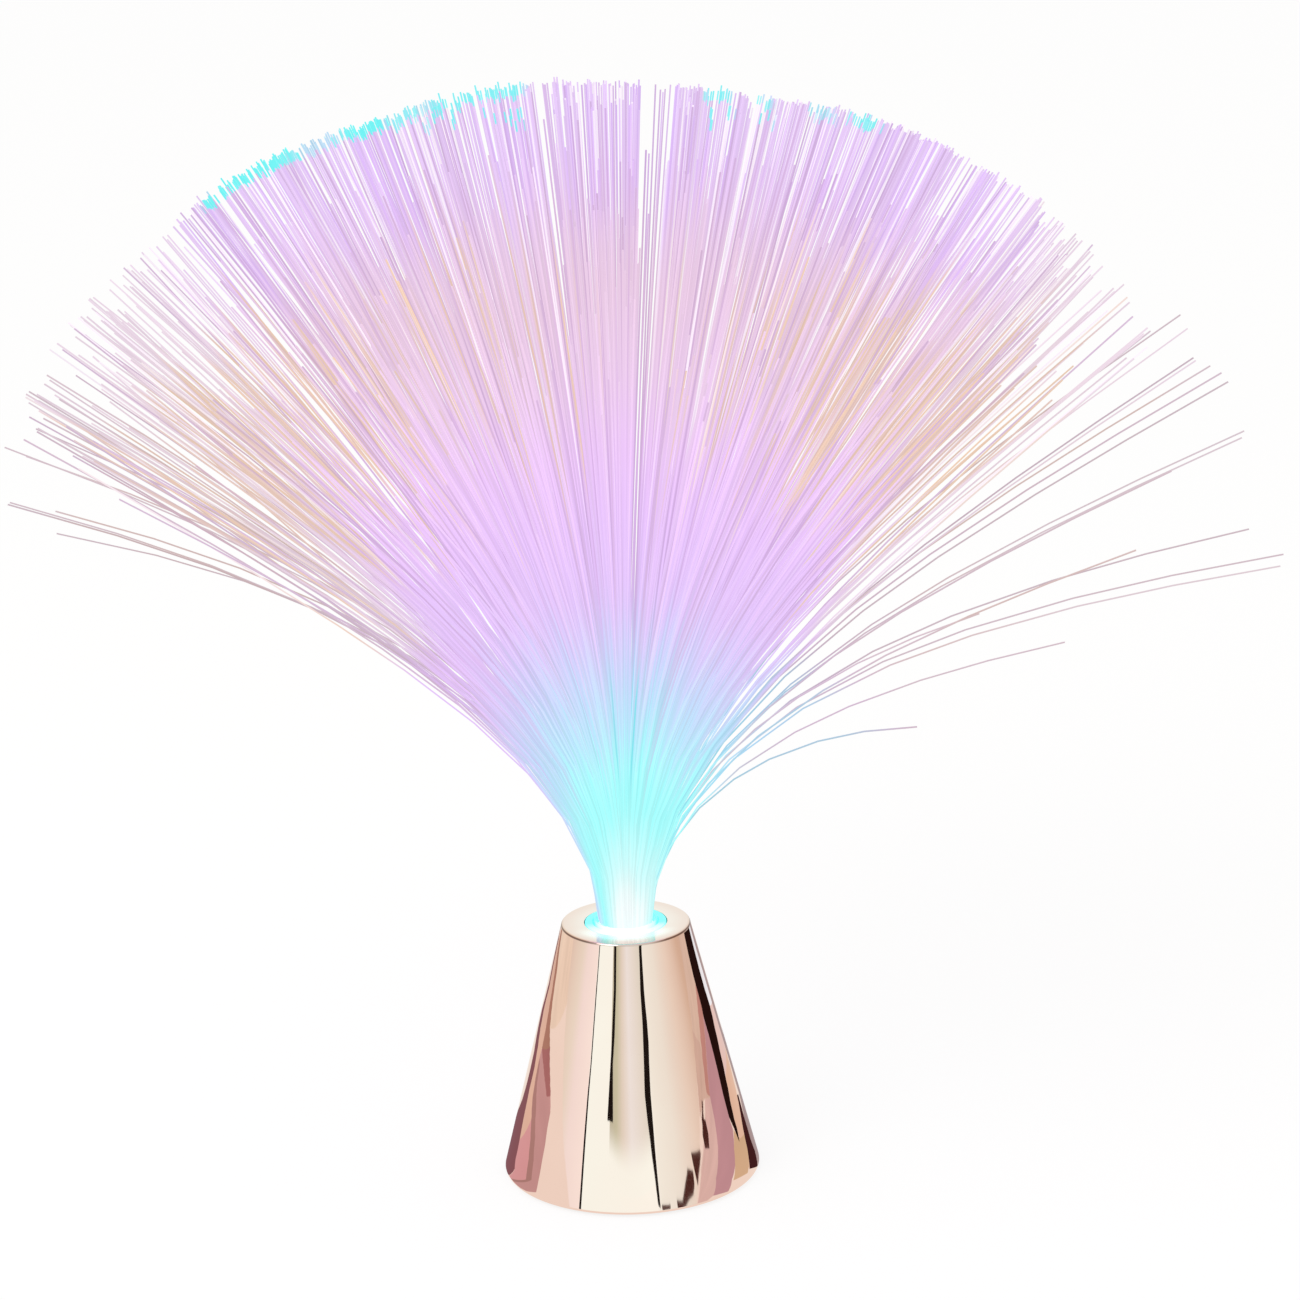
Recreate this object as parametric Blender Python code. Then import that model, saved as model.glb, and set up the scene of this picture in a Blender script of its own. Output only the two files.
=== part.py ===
"""Fibre optic lamp: a conical battery base whose lights shine up into a spray of optical fibres.

Units are metres and +Z is up. The origin is at the centre of the base, on the table it stands on.
"""

import math

import bmesh
import bpy
import numpy as np
from mathutils import Vector

# Clearances and workshop values
FIT = 0.0003
OVERRUN = 0.001
SINK = 0.0005
MERGE = 0.000001
SHARP_ANGLE = math.radians(35)
ARC_STEPS = 3
ROUND_SIDES = 56
TUBE_SIDES = 36
SMALL_SIDES = 16
SCREW_SIDES = 10

# Base shell
BASE_HEIGHT = 0.076
BASE_BOTTOM_D = 0.075
BASE_TOP_D = 0.037
SHELL_WALL = 0.002
TOP_WALL = 0.002
TOP_HOLE_D = 0.024
TOP_FILLET = 0.0008
RIM_FILLET = 0.0005
RIM_LIFT = 0.0008

# Base plate with its battery tray
PLATE_RECESS = 0.001
PLATE_WALL = 0.002
TRAY_WALL = 0.0015
TRAY_CORNER = 0.004

# Cells and their contacts
CELL_D = 0.0105
CELL_LENGTH = 0.0445
CELL_GAP = 0.0004
CELL_FILLET = 0.0005
NUB_D = 0.0038
NUB_HEIGHT = 0.0008
CONTACT_ROOM = 0.00325
CONTACT_WALL = 0.0004
CONTACT_WIDTH = 0.0064
CONTACT_HEIGHT = 0.0078
LINK_HEIGHT = 0.003
CONTACT_TAB_WIDTH = 0.0024
CONTACT_TAB_RISE = 0.002
DIMPLE_FOOT_D = 0.0048
DIMPLE_TIP_D = 0.003
SPRING_FOOT_D = 0.0056
SPRING_TIP_D = 0.0032
SPRING_WIRE_D = 0.0005
SPRING_TURNS = 3
SPRING_POINTS_PER_TURN = 8

# Battery door
DOOR_TAB_WIDTH = 0.003
DOOR_TAB_WALL = 0.001
DOOR_TAB_REACH = 0.003
DOOR_TAB_GRIP = 0.002
TONGUE_WIDTH = 0.008
TONGUE_REACH = 0.0065
DOOR_SCREW_INSET = 0.0025
DOOR_BOSS_D = 0.0052
DOOR_BOSS_HEIGHT = 0.0049
DOOR_BORE_D = 0.0032
GRIP_COUNT = 5
GRIP_LENGTH = 0.012
GRIP_WIDTH = 0.0009
GRIP_PITCH = 0.002
GRIP_DEPTH = 0.0005

# Screws
SCREW_D = 0.0022
SCREW_HEAD_D = 0.0048
SCREW_HEAD_HEIGHT = 0.0008
SCREW_SLOT_WIDTH = 0.0006
SCREW_SLOT_LENGTH = 0.003
SCREW_SLOT_DEPTH = 0.0004
BASE_SCREW_LENGTH = 0.010
DOOR_SCREW_LENGTH = 0.0045
HOLDER_SCREW_D = 0.0016
HOLDER_SCREW_HEAD_D = 0.0036
HOLDER_SCREW_LENGTH = 0.007

# Bosses of the shell and the feet under the plate
BOSS_D = 0.006
BOSS_HEIGHT = 0.016
BOSS_INSET = 0.0054
BOSS_AZIMUTH = math.radians(58)
FOOT_D = 0.005
FOOT_INSET = 0.0014
FOOT_FILLET = 0.0004
FOOT_AZIMUTH = math.radians(40)

# Slide switch
SWITCH_LENGTH = 0.012
SWITCH_WIDTH = 0.006
SWITCH_HEIGHT = 0.005
SWITCH_FLOOR = 0.0006
SWITCH_TRAVEL = 0.0032
SWITCH_RIB_WALL = 0.001
SWITCH_RIB_HEIGHT = 0.003
KNOB_LENGTH = 0.003
KNOB_WIDTH = 0.003
KNOB_PROUD = 0.0009
KNOB_FILLET = 0.0003
CARRIAGE_LENGTH = 0.0044
CARRIAGE_WIDTH = 0.004
CARRIAGE_HEIGHT = 0.0014
TERMINAL_LENGTH = 0.0016
TERMINAL_WALL = 0.0006
TERMINAL_DEPTH = 0.0012
TERMINAL_RISE = 0.0023
TERMINAL_OFFSET = 0.003

# Lamp holder, light collar and ferrule
COLLAR_PROUD = 0.0002
COLLAR_SLEEVE_D = 0.022
COLLAR_LENGTH = 0.0137
COLLAR_LIP_WALL = 0.0008
COLLAR_LIP_REACH = 0.001
COLLAR_FILLET = 0.0003
HOLDER_WALL = 0.0015
HOLDER_SHELF_WALL = 0.001
HOLDER_SHELF_REACH = 0.0028
HOLDER_STOP_WALL = 0.0008
HOLDER_STOP_REACH = 0.0011
HOLDER_SKIRT = 0.0051
EAR_WALL = 0.002
EAR_BOSS_D = 0.0044
EAR_BOSS_HEIGHT = 0.0075
FERRULE_D = 0.0184
FERRULE_WALL = 0.0007
FERRULE_PROUD = 0.001
FERRULE_FILLET = 0.0002

# Light board
BOARD_WALL = 0.0012
LED_D = 0.005
LED_FLANGE_D = 0.0058
LED_FLANGE_WALL = 0.001
LED_HEIGHT = 0.0086
LED_CIRCLE_D = 0.0084
LED_AIR = 0.0015
LEAD_WIDTH = 0.0005
LEAD_PITCH = 0.00254
LEAD_BELOW = 0.0015
CHIP_LENGTH = 0.005
CHIP_WIDTH = 0.004
CHIP_HEIGHT = 0.0015
RESISTOR_LENGTH = 0.002
RESISTOR_WIDTH = 0.0012
RESISTOR_HEIGHT = 0.0006
RESISTOR_CIRCLE_D = 0.014
RESISTOR_AZIMUTH = math.radians(30)
CAP_WALL = 0.0015
CAP_RING_WALL = 0.0014
CAP_HOLE_D = 0.015

# Wires
WIRE_D = 0.0012
WIRE_STEP = 0.0036

# Spray of fibres: each is upright at its foot and leans out more and more towards its tip.
# Sideways most lean up to about 50 degrees, and the few whose feet lie near the rim droop further.
FIBRE_COUNT = 324
FIBRE_LENGTH = 0.2395
FIBRE_D = 0.00055
FIBRE_SIDES = 3
FOOT_PLACE_SHARES = (-1, -0.94, -0.72, 0.76, 0.9, 1)
SPRAY_LEANS_X = [math.radians(angle) for angle in (-92, -57, -40, 35, 47, 78)]
SPRAY_LEAN_Y = math.radians(50)
LEAN_JITTER = math.radians(1.2)
LENGTH_JITTER_SHARE = 0.012
EDGE_SHORTER_SHARE = 0.07
BEND_LENGTH_SHARE = 0.25
DROOPING_LEAN = math.radians(52)
DROOPING_SHARES = (0, 0.12, 0.35, 0.65, 1)
FIBRE_SHARES = (0, 0.12, 0.35, 1)
PATH_STEPS = 40
FOOT_MARGIN = 0.0003
SLICE_HEIGHT = 0.0015
GOLDEN_ANGLE = math.pi * (3 - math.sqrt(5))
SEED = 11

# Heights that follow, from the table up
PLATE_UNDERSIDE = RIM_LIFT + PLATE_RECESS
PLATE_TOP = PLATE_UNDERSIDE + PLATE_WALL
CELL_Z = PLATE_TOP + FIT + CELL_D / 2
TRAY_CEILING = PLATE_TOP + FIT + CELL_D + FIT
TRAY_TOP = TRAY_CEILING + TRAY_WALL
TOP_UNDERSIDE = BASE_HEIGHT - TOP_WALL
HOLDER_TOP = TOP_UNDERSIDE - FIT
COLLAR_TOP = BASE_HEIGHT + COLLAR_PROUD
COLLAR_BOTTOM = HOLDER_TOP + FIT - COLLAR_LENGTH
SHELF_TOP = COLLAR_BOTTOM - FIT
FERRULE_BOTTOM = COLLAR_BOTTOM + COLLAR_LIP_WALL + FIT
FERRULE_TOP = BASE_HEIGHT + FERRULE_PROUD
SLICE_TOP = FERRULE_TOP - FERRULE_FILLET
SLICE_BOTTOM = SLICE_TOP - SLICE_HEIGHT
CORE_TOP = SLICE_BOTTOM - FIT
CORE_BOTTOM = FERRULE_BOTTOM + FIT
LED_TOP = CORE_BOTTOM - LED_AIR
LED_BOTTOM = LED_TOP - LED_HEIGHT
BOARD_TOP = LED_BOTTOM - FIT
BOARD_BOTTOM = BOARD_TOP - BOARD_WALL
HOLDER_BOTTOM = BOARD_BOTTOM - HOLDER_SKIRT
EAR_BOSS_BOTTOM = TOP_UNDERSIDE - EAR_BOSS_HEIGHT
EAR_TOP = EAR_BOSS_BOTTOM - FIT
EAR_BOTTOM = EAR_TOP - EAR_WALL

# Radii and half widths that follow
TOP_HOLE_R = TOP_HOLE_D / 2
FLANGE_R = TOP_HOLE_R - FIT
SLEEVE_R = COLLAR_SLEEVE_D / 2
HOLDER_BORE_R = SLEEVE_R + FIT
HOLDER_R = HOLDER_BORE_R + HOLDER_WALL
SHELF_R = HOLDER_BORE_R - HOLDER_SHELF_REACH
STOP_R = HOLDER_BORE_R - HOLDER_STOP_REACH
EAR_X = HOLDER_R + FIT + EAR_BOSS_D / 2
COLLAR_BORE_R = FERRULE_D / 2 + FIT
FERRULE_BORE_R = FERRULE_D / 2 - FERRULE_WALL
CORE_R = FERRULE_BORE_R - FIT
CELL_PITCH = CELL_D + CELL_GAP
TRAY_HALF_Y = CELL_PITCH + CELL_D / 2 + FIT
TRAY_HALF_X = CELL_LENGTH / 2 + CONTACT_ROOM
TRAY_INNER_CORNER = TRAY_CORNER - TRAY_WALL
DOOR_HALF_X = TRAY_HALF_X - FIT
DOOR_HALF_Y = TRAY_HALF_Y - FIT
DOOR_CORNER = TRAY_INNER_CORNER - FIT
TONGUE_END = DOOR_HALF_X + TONGUE_REACH
DOOR_SCREW_X = TONGUE_END - DOOR_SCREW_INSET
CONTACT_OUTER_X = TRAY_HALF_X - FIT
CONTACT_INNER_X = CONTACT_OUTER_X - CONTACT_WALL
SCREW_POCKET_DEPTH = SCREW_HEAD_HEIGHT + FIT
SCREW_POCKET_R = SCREW_HEAD_D / 2 + FIT
SCREW_HOLE_R = SCREW_D / 2 + FIT
SLOT_HALF_X = (SWITCH_TRAVEL + KNOB_LENGTH) / 2 + FIT
SLOT_HALF_Y = KNOB_WIDTH / 2 + FIT


def shell_outer(z):
    """Radius of the cone's outside at height z."""
    share = (z - RIM_LIFT) / (BASE_HEIGHT - RIM_LIFT)
    return (BASE_BOTTOM_D + (BASE_TOP_D - BASE_BOTTOM_D) * share) / 2


def shell_inner(z):
    """Radius of the cone's inside at height z."""
    slope = math.atan2((BASE_BOTTOM_D - BASE_TOP_D) / 2, BASE_HEIGHT - RIM_LIFT)
    return shell_outer(z) - SHELL_WALL / math.cos(slope)


PLATE_TOP_R = shell_inner(PLATE_TOP) - FIT
PLATE_BOTTOM_R = shell_inner(PLATE_UNDERSIDE) - FIT
BOSS_CIRCLE_R = PLATE_TOP_R - BOSS_INSET
FOOT_CIRCLE_R = PLATE_BOTTOM_R - FOOT_D / 2 - FOOT_INSET
SWITCH_Y = (TRAY_HALF_Y + TRAY_WALL + PLATE_TOP_R) / 2


def clear_scene():
    """Removes whatever the scene holds, so that each run starts from nothing."""
    for item in list(bpy.data.objects):
        bpy.data.objects.remove(item, do_unlink=True)


def finish(name, colour, roughness, metallic=0.0, alpha=1.0, glow=0.0):
    """A Principled material of one of the lamp's finishes."""
    material = bpy.data.materials.new(name)
    material.use_nodes = True
    shader = material.node_tree.nodes["Principled BSDF"]
    shader.inputs["Base Color"].default_value = (*colour, 1)
    shader.inputs["Roughness"].default_value = roughness
    shader.inputs["Metallic"].default_value = metallic
    shader.inputs["Alpha"].default_value = alpha
    shader.inputs["Emission Color"].default_value = (*colour, 1)
    shader.inputs["Emission Strength"].default_value = glow
    return material


def add_object(name, shape, material):
    """Turns a bmesh into an object with smooth faces and sharp corners."""
    bmesh.ops.remove_doubles(shape, verts=shape.verts, dist=MERGE)
    bmesh.ops.recalc_face_normals(shape, faces=shape.faces)
    mesh = bpy.data.meshes.new(name)
    shape.to_mesh(mesh)
    shape.free()
    mesh.shade_smooth()
    mesh.set_sharp_from_angle(angle=SHARP_ANGLE)
    item = bpy.data.objects.new(name, mesh)
    bpy.context.scene.collection.objects.link(item)
    if material is not None:
        mesh.materials.append(material)
    return item


def combine(target, tool, operation):
    """Keeps a live Boolean on the target and leaves its tool out of the finished lamp."""
    modifier = target.modifiers.new(tool.name, "BOOLEAN")
    modifier.operation = operation
    modifier.solver = "EXACT"
    modifier.object = tool
    tool.hide_render = True
    tool.display_type = "WIRE"


def cut(target, tool):
    combine(target, tool, "DIFFERENCE")


def join(target, tool):
    combine(target, tool, "UNION")


def set_origin(item, point):
    """Moves an object's origin to a point and leaves its shape where it is."""
    offset = Vector(point)
    for vertex in item.data.vertices:
        vertex.co -= offset
    item.location = offset


def rounded(corners):
    """A closed outline whose corners, each (x, y, radius), become arcs."""
    points = []
    for index, (x, y, radius) in enumerate(corners):
        here = Vector((x, y))
        if radius == 0:
            points.append(here)
            continue
        before = (Vector(corners[index - 1][:2]) - here).normalized()
        after = (Vector(corners[(index + 1) % len(corners)][:2]) - here).normalized()
        half = before.angle(after) / 2
        reach = radius / math.tan(half)
        centre = here + (before + after).normalized() * (radius / math.sin(half))
        start = here + before * reach - centre
        end = here + after * reach - centre
        for step in range(ARC_STEPS + 1):
            points.append(centre + start.slerp(end, step / ARC_STEPS).normalized() * radius)
    return points


def turned(name, outline, sides, material=None):
    """Spins an outline of (radius, height) about Z. One that leaves the axis is closed to a ring."""
    shape = bmesh.new()
    points = [shape.verts.new((radius, 0, height)) for radius, height in outline]
    edges = [shape.edges.new(pair) for pair in zip(points, points[1:])]
    if outline[0][0] > 0:
        edges.append(shape.edges.new((points[-1], points[0])))
    bmesh.ops.spin(
        shape,
        geom=points + edges,
        cent=(0, 0, 0),
        axis=(0, 0, 1),
        angle=math.tau,
        steps=sides,
        use_merge=True,
    )
    return add_object(name, shape, material)


def disc(name, radius, low, high, sides, centre=(0, 0), material=None):
    """An upright cylinder between two heights."""
    turns = [math.tau * index / sides for index in range(sides)]
    outline = [
        (centre[0] + radius * math.cos(turn), centre[1] + radius * math.sin(turn)) for turn in turns
    ]
    return prism(name, outline, low, high, material)


def prism(name, outline, low, high, material=None):
    """Extrudes an outline in the XY plane between two heights."""
    shape = bmesh.new()
    face = shape.faces.new([shape.verts.new((x, y, low)) for x, y in outline])
    grown = bmesh.ops.extrude_face_region(shape, geom=[face])
    top = [part for part in grown["geom"] if isinstance(part, bmesh.types.BMVert)]
    bmesh.ops.translate(shape, verts=top, vec=(0, 0, high - low))
    return add_object(name, shape, material)


def rectangle(half_x, half_y, radius, centre=(0, 0)):
    """A rectangle's outline with rounded corners."""
    x, y = centre
    signs = ((-1, -1), (1, -1), (1, 1), (-1, 1))
    return rounded([(x + sx * half_x, y + sy * half_y, radius) for sx, sy in signs])


def block(name, low, high, material=None, fillet=0):
    """A box between two corners, with its upright edges rounded by the fillet."""
    half_x = (high[0] - low[0]) / 2
    half_y = (high[1] - low[1]) / 2
    centre = (low[0] + half_x, low[1] + half_y)
    return prism(name, rectangle(half_x, half_y, fillet, centre), low[2], high[2], material)


def smooth_path(points, step):
    """A curve through the points, read at an even step."""
    knots = [Vector(point) for point in points]
    ends = [2 * knots[0] - knots[1]], [2 * knots[-1] - knots[-2]]
    padded = ends[0] + knots + ends[1]
    dense = []
    for before, start, end, after in zip(padded, padded[1:], padded[2:], padded[3:]):
        for index in range(PATH_STEPS):
            t = index / PATH_STEPS
            bend = (end - before) * t + (2 * before - 5 * start + 4 * end - after) * t**2
            dense.append(start + (bend + (3 * start - before - 3 * end + after) * t**3) / 2)
    dense.append(knots[-1])
    lengths = [(second - first).length for first, second in zip(dense, dense[1:])]
    total = sum(lengths)
    count = max(2, round(total / step))
    path = [dense[0]]
    gone = 0
    for length, point in zip(lengths, dense[1:]):
        gone += length
        if gone >= total * len(path) / count - MERGE and len(path) < count:
            path.append(point)
    return path + [dense[-1]]


def wire(name, points, material):
    """A wire along a smooth route, square at both ends."""
    path = smooth_path(points, WIRE_STEP)
    curve = bpy.data.curves.new(name, "CURVE")
    curve.dimensions = "3D"
    curve.bevel_depth = WIRE_D / 2
    curve.bevel_resolution = 2
    curve.use_fill_caps = True
    spline = curve.splines.new("POLY")
    spline.points.add(len(path) - 1)
    for point, place in zip(spline.points, path):
        point.co = (*place, 1)
    curve.materials.append(material)
    item = bpy.data.objects.new(name, curve)
    bpy.context.scene.collection.objects.link(item)
    return item


def turned_about_x(item, turn):
    """Lays a shape that was turned about Z along X, with its +Z end towards +X or -X."""
    for vertex in item.data.vertices:
        x, y, z = vertex.co
        vertex.co = (turn * z, turn * y, -x)
    return item


def shift(item, x, y, z):
    offset = Vector((x, y, z))
    for vertex in item.data.vertices:
        vertex.co += offset
    return item


def screw_places():
    """Centres of the four base screws."""
    for side in (1, -1):
        for end in (1, -1):
            x = side * BOSS_CIRCLE_R * math.cos(BOSS_AZIMUTH)
            yield x, end * BOSS_CIRCLE_R * math.sin(BOSS_AZIMUTH)


def screw(name, centre, underside, length, material, head_d=SCREW_HEAD_D, shank_d=SCREW_D):
    """An upright screw with its cross-slotted head below."""
    head_top = underside + SCREW_HEAD_HEIGHT
    outline = [
        (0, underside),
        (head_d / 2, underside),
        (head_d / 2, head_top),
        (shank_d / 2, head_top),
        (shank_d / 2, head_top + length),
        (0, head_top + length),
    ]
    item = shift(turned(name, outline, SCREW_SIDES, material), *centre, 0)
    for along, across in ((SCREW_SLOT_LENGTH, SCREW_SLOT_WIDTH), (SCREW_SLOT_WIDTH, SCREW_SLOT_LENGTH)):
        outline = rectangle(along / 2, across / 2, 0, centre)
        slot_top = underside + SCREW_SLOT_DEPTH
        cut(item, prism(name + "_slot", outline, underside - OVERRUN, slot_top))
    return item


def make_base_shell(material):
    """The plated cone, open below, with bosses for the base screws and the lamp holder."""
    outline = rounded(
        [
            (shell_inner(RIM_LIFT), RIM_LIFT, 0),
            (shell_outer(RIM_LIFT), RIM_LIFT, RIM_FILLET),
            (shell_outer(BASE_HEIGHT), BASE_HEIGHT, TOP_FILLET),
            (TOP_HOLE_R, BASE_HEIGHT, 0),
            (TOP_HOLE_R, TOP_UNDERSIDE, 0),
            (shell_inner(TOP_UNDERSIDE), TOP_UNDERSIDE, 0),
        ]
    )
    shell = turned("base_shell", outline, ROUND_SIDES, material)
    boss_bottom = PLATE_TOP + FIT
    boss_top = PLATE_TOP + BOSS_HEIGHT
    bore_top = PLATE_UNDERSIDE + SCREW_HEAD_HEIGHT + BASE_SCREW_LENGTH + FIT
    for place in screw_places():
        join(shell, disc("boss", BOSS_D / 2, boss_bottom, boss_top, SMALL_SIDES, place))
    for place in screw_places():
        low = boss_bottom - OVERRUN
        cut(shell, disc("boss_bore", SCREW_HOLE_R, low, bore_top, SCREW_SIDES, place))
    for side in (1, -1):
        place = (side * EAR_X, 0)
        top = TOP_UNDERSIDE + SINK
        join(shell, disc("ear_boss", EAR_BOSS_D / 2, EAR_BOSS_BOTTOM, top, SMALL_SIDES, place))
        low = EAR_BOSS_BOTTOM - OVERRUN
        high = EAR_BOTTOM - FIT + HOLDER_SCREW_LENGTH + FIT
        radius = HOLDER_SCREW_D / 2 + FIT
        cut(shell, disc("ear_bore", radius, low, high, SCREW_SIDES, place))
    return shell


def make_base_plate(material):
    """The bottom plate, moulded with the battery tray, the door's screw boss and the switch ribs."""
    outline = [
        (0, PLATE_UNDERSIDE),
        (PLATE_BOTTOM_R, PLATE_UNDERSIDE),
        (PLATE_TOP_R, PLATE_TOP),
        (0, PLATE_TOP),
    ]
    plate = turned("base_plate", outline, ROUND_SIDES, material)
    outer_x = TRAY_HALF_X + TRAY_WALL
    outer_y = TRAY_HALF_Y + TRAY_WALL
    tray = rectangle(outer_x, outer_y, TRAY_CORNER)
    join(plate, prism("tray", tray, PLATE_TOP - SINK, TRAY_TOP))
    boss_bottom = PLATE_TOP + FIT
    boss_top = boss_bottom + DOOR_BOSS_HEIGHT
    boss_place = (DOOR_SCREW_X, 0)
    boss_r = DOOR_BOSS_D / 2
    low = (outer_x - TRAY_WALL / 2, -boss_r, boss_bottom)
    join(plate, block("door_boss_arm", low, (DOOR_SCREW_X, boss_r, boss_top)))
    join(plate, disc("door_boss", boss_r, boss_bottom, boss_top, SMALL_SIDES, boss_place))
    for side in (1, -1):
        near = side * (SWITCH_LENGTH / 2 + FIT)
        far = near + side * SWITCH_RIB_WALL
        low = (min(near, far), SWITCH_Y - SWITCH_WIDTH / 2, PLATE_TOP - SINK)
        high = (max(near, far), SWITCH_Y + SWITCH_WIDTH / 2, PLATE_TOP + SWITCH_RIB_HEIGHT)
        join(plate, block("switch_rib", low, high))
    below = PLATE_UNDERSIDE - OVERRUN
    cavity = rectangle(TRAY_HALF_X, TRAY_HALF_Y, TRAY_INNER_CORNER)
    cut(plate, prism("cavity", cavity, below, TRAY_CEILING))
    notch_low = (TRAY_HALF_X - OVERRUN, -TONGUE_WIDTH / 2 - FIT, below)
    notch_high = (TONGUE_END + FIT, TONGUE_WIDTH / 2 + FIT, boss_bottom)
    cut(plate, block("tongue_notch", notch_low, notch_high))
    bore_top = PLATE_UNDERSIDE + SCREW_HEAD_HEIGHT + DOOR_SCREW_LENGTH + FIT
    cut(plate, disc("door_bore", DOOR_BORE_D / 2, below, bore_top, SMALL_SIDES, boss_place))
    tab_top = DOOR_TAB_WALL + PLATE_WALL + FIT
    slot_top = PLATE_UNDERSIDE + math.hypot(DOOR_TAB_REACH, tab_top) + FIT
    for side in (1, -1):
        middle = side * CELL_PITCH / 2
        half = DOOR_TAB_WIDTH / 2 + FIT
        low = (-outer_x - OVERRUN, middle - half, PLATE_TOP)
        cut(plate, block("tab_slot", low, (-TRAY_HALF_X + OVERRUN, middle + half, slot_top)))
    for side in (1, -1):
        half = CONTACT_TAB_WIDTH / 2 + FIT
        ends = sorted((side * TRAY_HALF_X, side * (CONTACT_INNER_X - FIT)))
        low = (ends[0], side * CELL_PITCH - half, TRAY_CEILING - OVERRUN)
        high = (ends[1], side * CELL_PITCH + half, TRAY_TOP + OVERRUN)
        cut(plate, block("contact_slot", low, high))
    for place in screw_places():
        top = PLATE_TOP + OVERRUN
        cut(plate, disc("screw_hole", SCREW_HOLE_R, below, top, SCREW_SIDES, place))
        pocket_top = PLATE_UNDERSIDE + SCREW_POCKET_DEPTH
        cut(plate, disc("screw_pocket", SCREW_POCKET_R, below, pocket_top, SMALL_SIDES, place))
    low = (-SLOT_HALF_X, SWITCH_Y - SLOT_HALF_Y, below)
    high = (SLOT_HALF_X, SWITCH_Y + SLOT_HALF_Y, PLATE_TOP + OVERRUN)
    cut(plate, block("switch_slot", low, high))
    return plate


def make_battery_door(material, screw_material):
    """The door under the cells: two hooks at its hinge end and a screwed tongue at the other."""
    outline = rectangle(DOOR_HALF_X, DOOR_HALF_Y, DOOR_CORNER)
    door = prism("battery_door", outline, PLATE_UNDERSIDE, PLATE_TOP, material)
    low = (DOOR_HALF_X - TRAY_WALL, -TONGUE_WIDTH / 2, PLATE_UNDERSIDE)
    join(door, block("tongue", low, (TONGUE_END, TONGUE_WIDTH / 2, PLATE_TOP)))
    tab_low = PLATE_TOP + FIT
    for side in (1, -1):
        middle = side * CELL_PITCH / 2
        half = DOOR_TAB_WIDTH / 2
        edge = -DOOR_HALF_X
        low = (edge, middle - half, PLATE_TOP - SINK)
        high = (edge + DOOR_TAB_GRIP, middle + half, tab_low + DOOR_TAB_WALL)
        join(door, block("tab_riser", low, high))
        low = (edge - DOOR_TAB_REACH, middle - half, tab_low)
        high = (edge + DOOR_TAB_GRIP / 2, middle + half, tab_low + DOOR_TAB_WALL)
        join(door, block("tab_hook", low, high))
    place = (DOOR_SCREW_X, 0)
    below = PLATE_UNDERSIDE - OVERRUN
    cut(door, disc("door_hole", SCREW_HOLE_R, below, PLATE_TOP + OVERRUN, SCREW_SIDES, place))
    pocket_top = PLATE_UNDERSIDE + SCREW_POCKET_DEPTH
    cut(door, disc("door_pocket", SCREW_POCKET_R, below, pocket_top, SMALL_SIDES, place))
    for index in range(GRIP_COUNT):
        x = DOOR_HALF_X / 2 + (index - (GRIP_COUNT - 1) / 2) * GRIP_PITCH
        low = (x - GRIP_WIDTH / 2, -GRIP_LENGTH / 2, below)
        high = (x + GRIP_WIDTH / 2, GRIP_LENGTH / 2, PLATE_UNDERSIDE + GRIP_DEPTH)
        cut(door, block("grip", low, high))
    hinge = (-DOOR_HALF_X, 0, PLATE_UNDERSIDE)
    set_origin(door, hinge)
    fastener = screw("door_screw", place, PLATE_UNDERSIDE, DOOR_SCREW_LENGTH, screw_material)
    fastener.parent = door
    fastener.matrix_parent_inverse = door.matrix_basis.inverted()
    return door


def make_cells(material):
    """Three cells side by side, each turned end for end from its neighbour."""
    body_end = CELL_LENGTH / 2 - NUB_HEIGHT
    for index in range(3):
        outline = rounded(
            [
                (0, -CELL_LENGTH / 2, 0),
                (CELL_D / 2, -CELL_LENGTH / 2, CELL_FILLET),
                (CELL_D / 2, body_end, CELL_FILLET),
                (NUB_D / 2, body_end, 0),
                (NUB_D / 2, CELL_LENGTH / 2, 0),
                (0, CELL_LENGTH / 2, 0),
            ]
        )
        name = "battery_" + str(index + 1)
        cell = turned(name, outline, SMALL_SIDES, material)
        turned_about_x(cell, -1 if index != 1 else 1)
        shift(cell, 0, (index - 1) * CELL_PITCH, CELL_Z)


def spring_mesh():
    """A conical coil that starts on its plate and narrows towards the cell, along +Z."""
    height = CONTACT_ROOM - FIT - CONTACT_WALL - FIT - SPRING_WIRE_D / 2
    count = SPRING_TURNS * SPRING_POINTS_PER_TURN
    curve = bpy.data.curves.new("spring", "CURVE")
    curve.dimensions = "3D"
    curve.bevel_depth = SPRING_WIRE_D / 2
    curve.bevel_resolution = 0
    curve.use_fill_caps = True
    spline = curve.splines.new("POLY")
    spline.points.add(count)
    for index, point in enumerate(spline.points):
        share = index / count
        radius = (SPRING_FOOT_D + (SPRING_TIP_D - SPRING_FOOT_D) * share - SPRING_WIRE_D) / 2
        angle = math.tau * SPRING_TURNS * share
        point.co = (radius * math.cos(angle), radius * math.sin(angle), height * share, 1)
    guide = bpy.data.objects.new("spring_guide", curve)
    bpy.context.scene.collection.objects.link(guide)
    bpy.context.view_layer.update()
    evaluated = guide.evaluated_get(bpy.context.evaluated_depsgraph_get())
    mesh = bpy.data.meshes.new_from_object(evaluated)
    bpy.data.objects.remove(guide)
    return mesh


def add_spring(plate, end, y):
    """Fuses a coil to the inner face of a contact plate at one end of the tray."""
    tool = bpy.data.objects.new("spring", spring_mesh())
    bpy.context.scene.collection.objects.link(tool)
    turned_about_x(tool, -end)
    shift(tool, end * CONTACT_INNER_X, y, CELL_Z)
    join(plate, tool)


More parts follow.
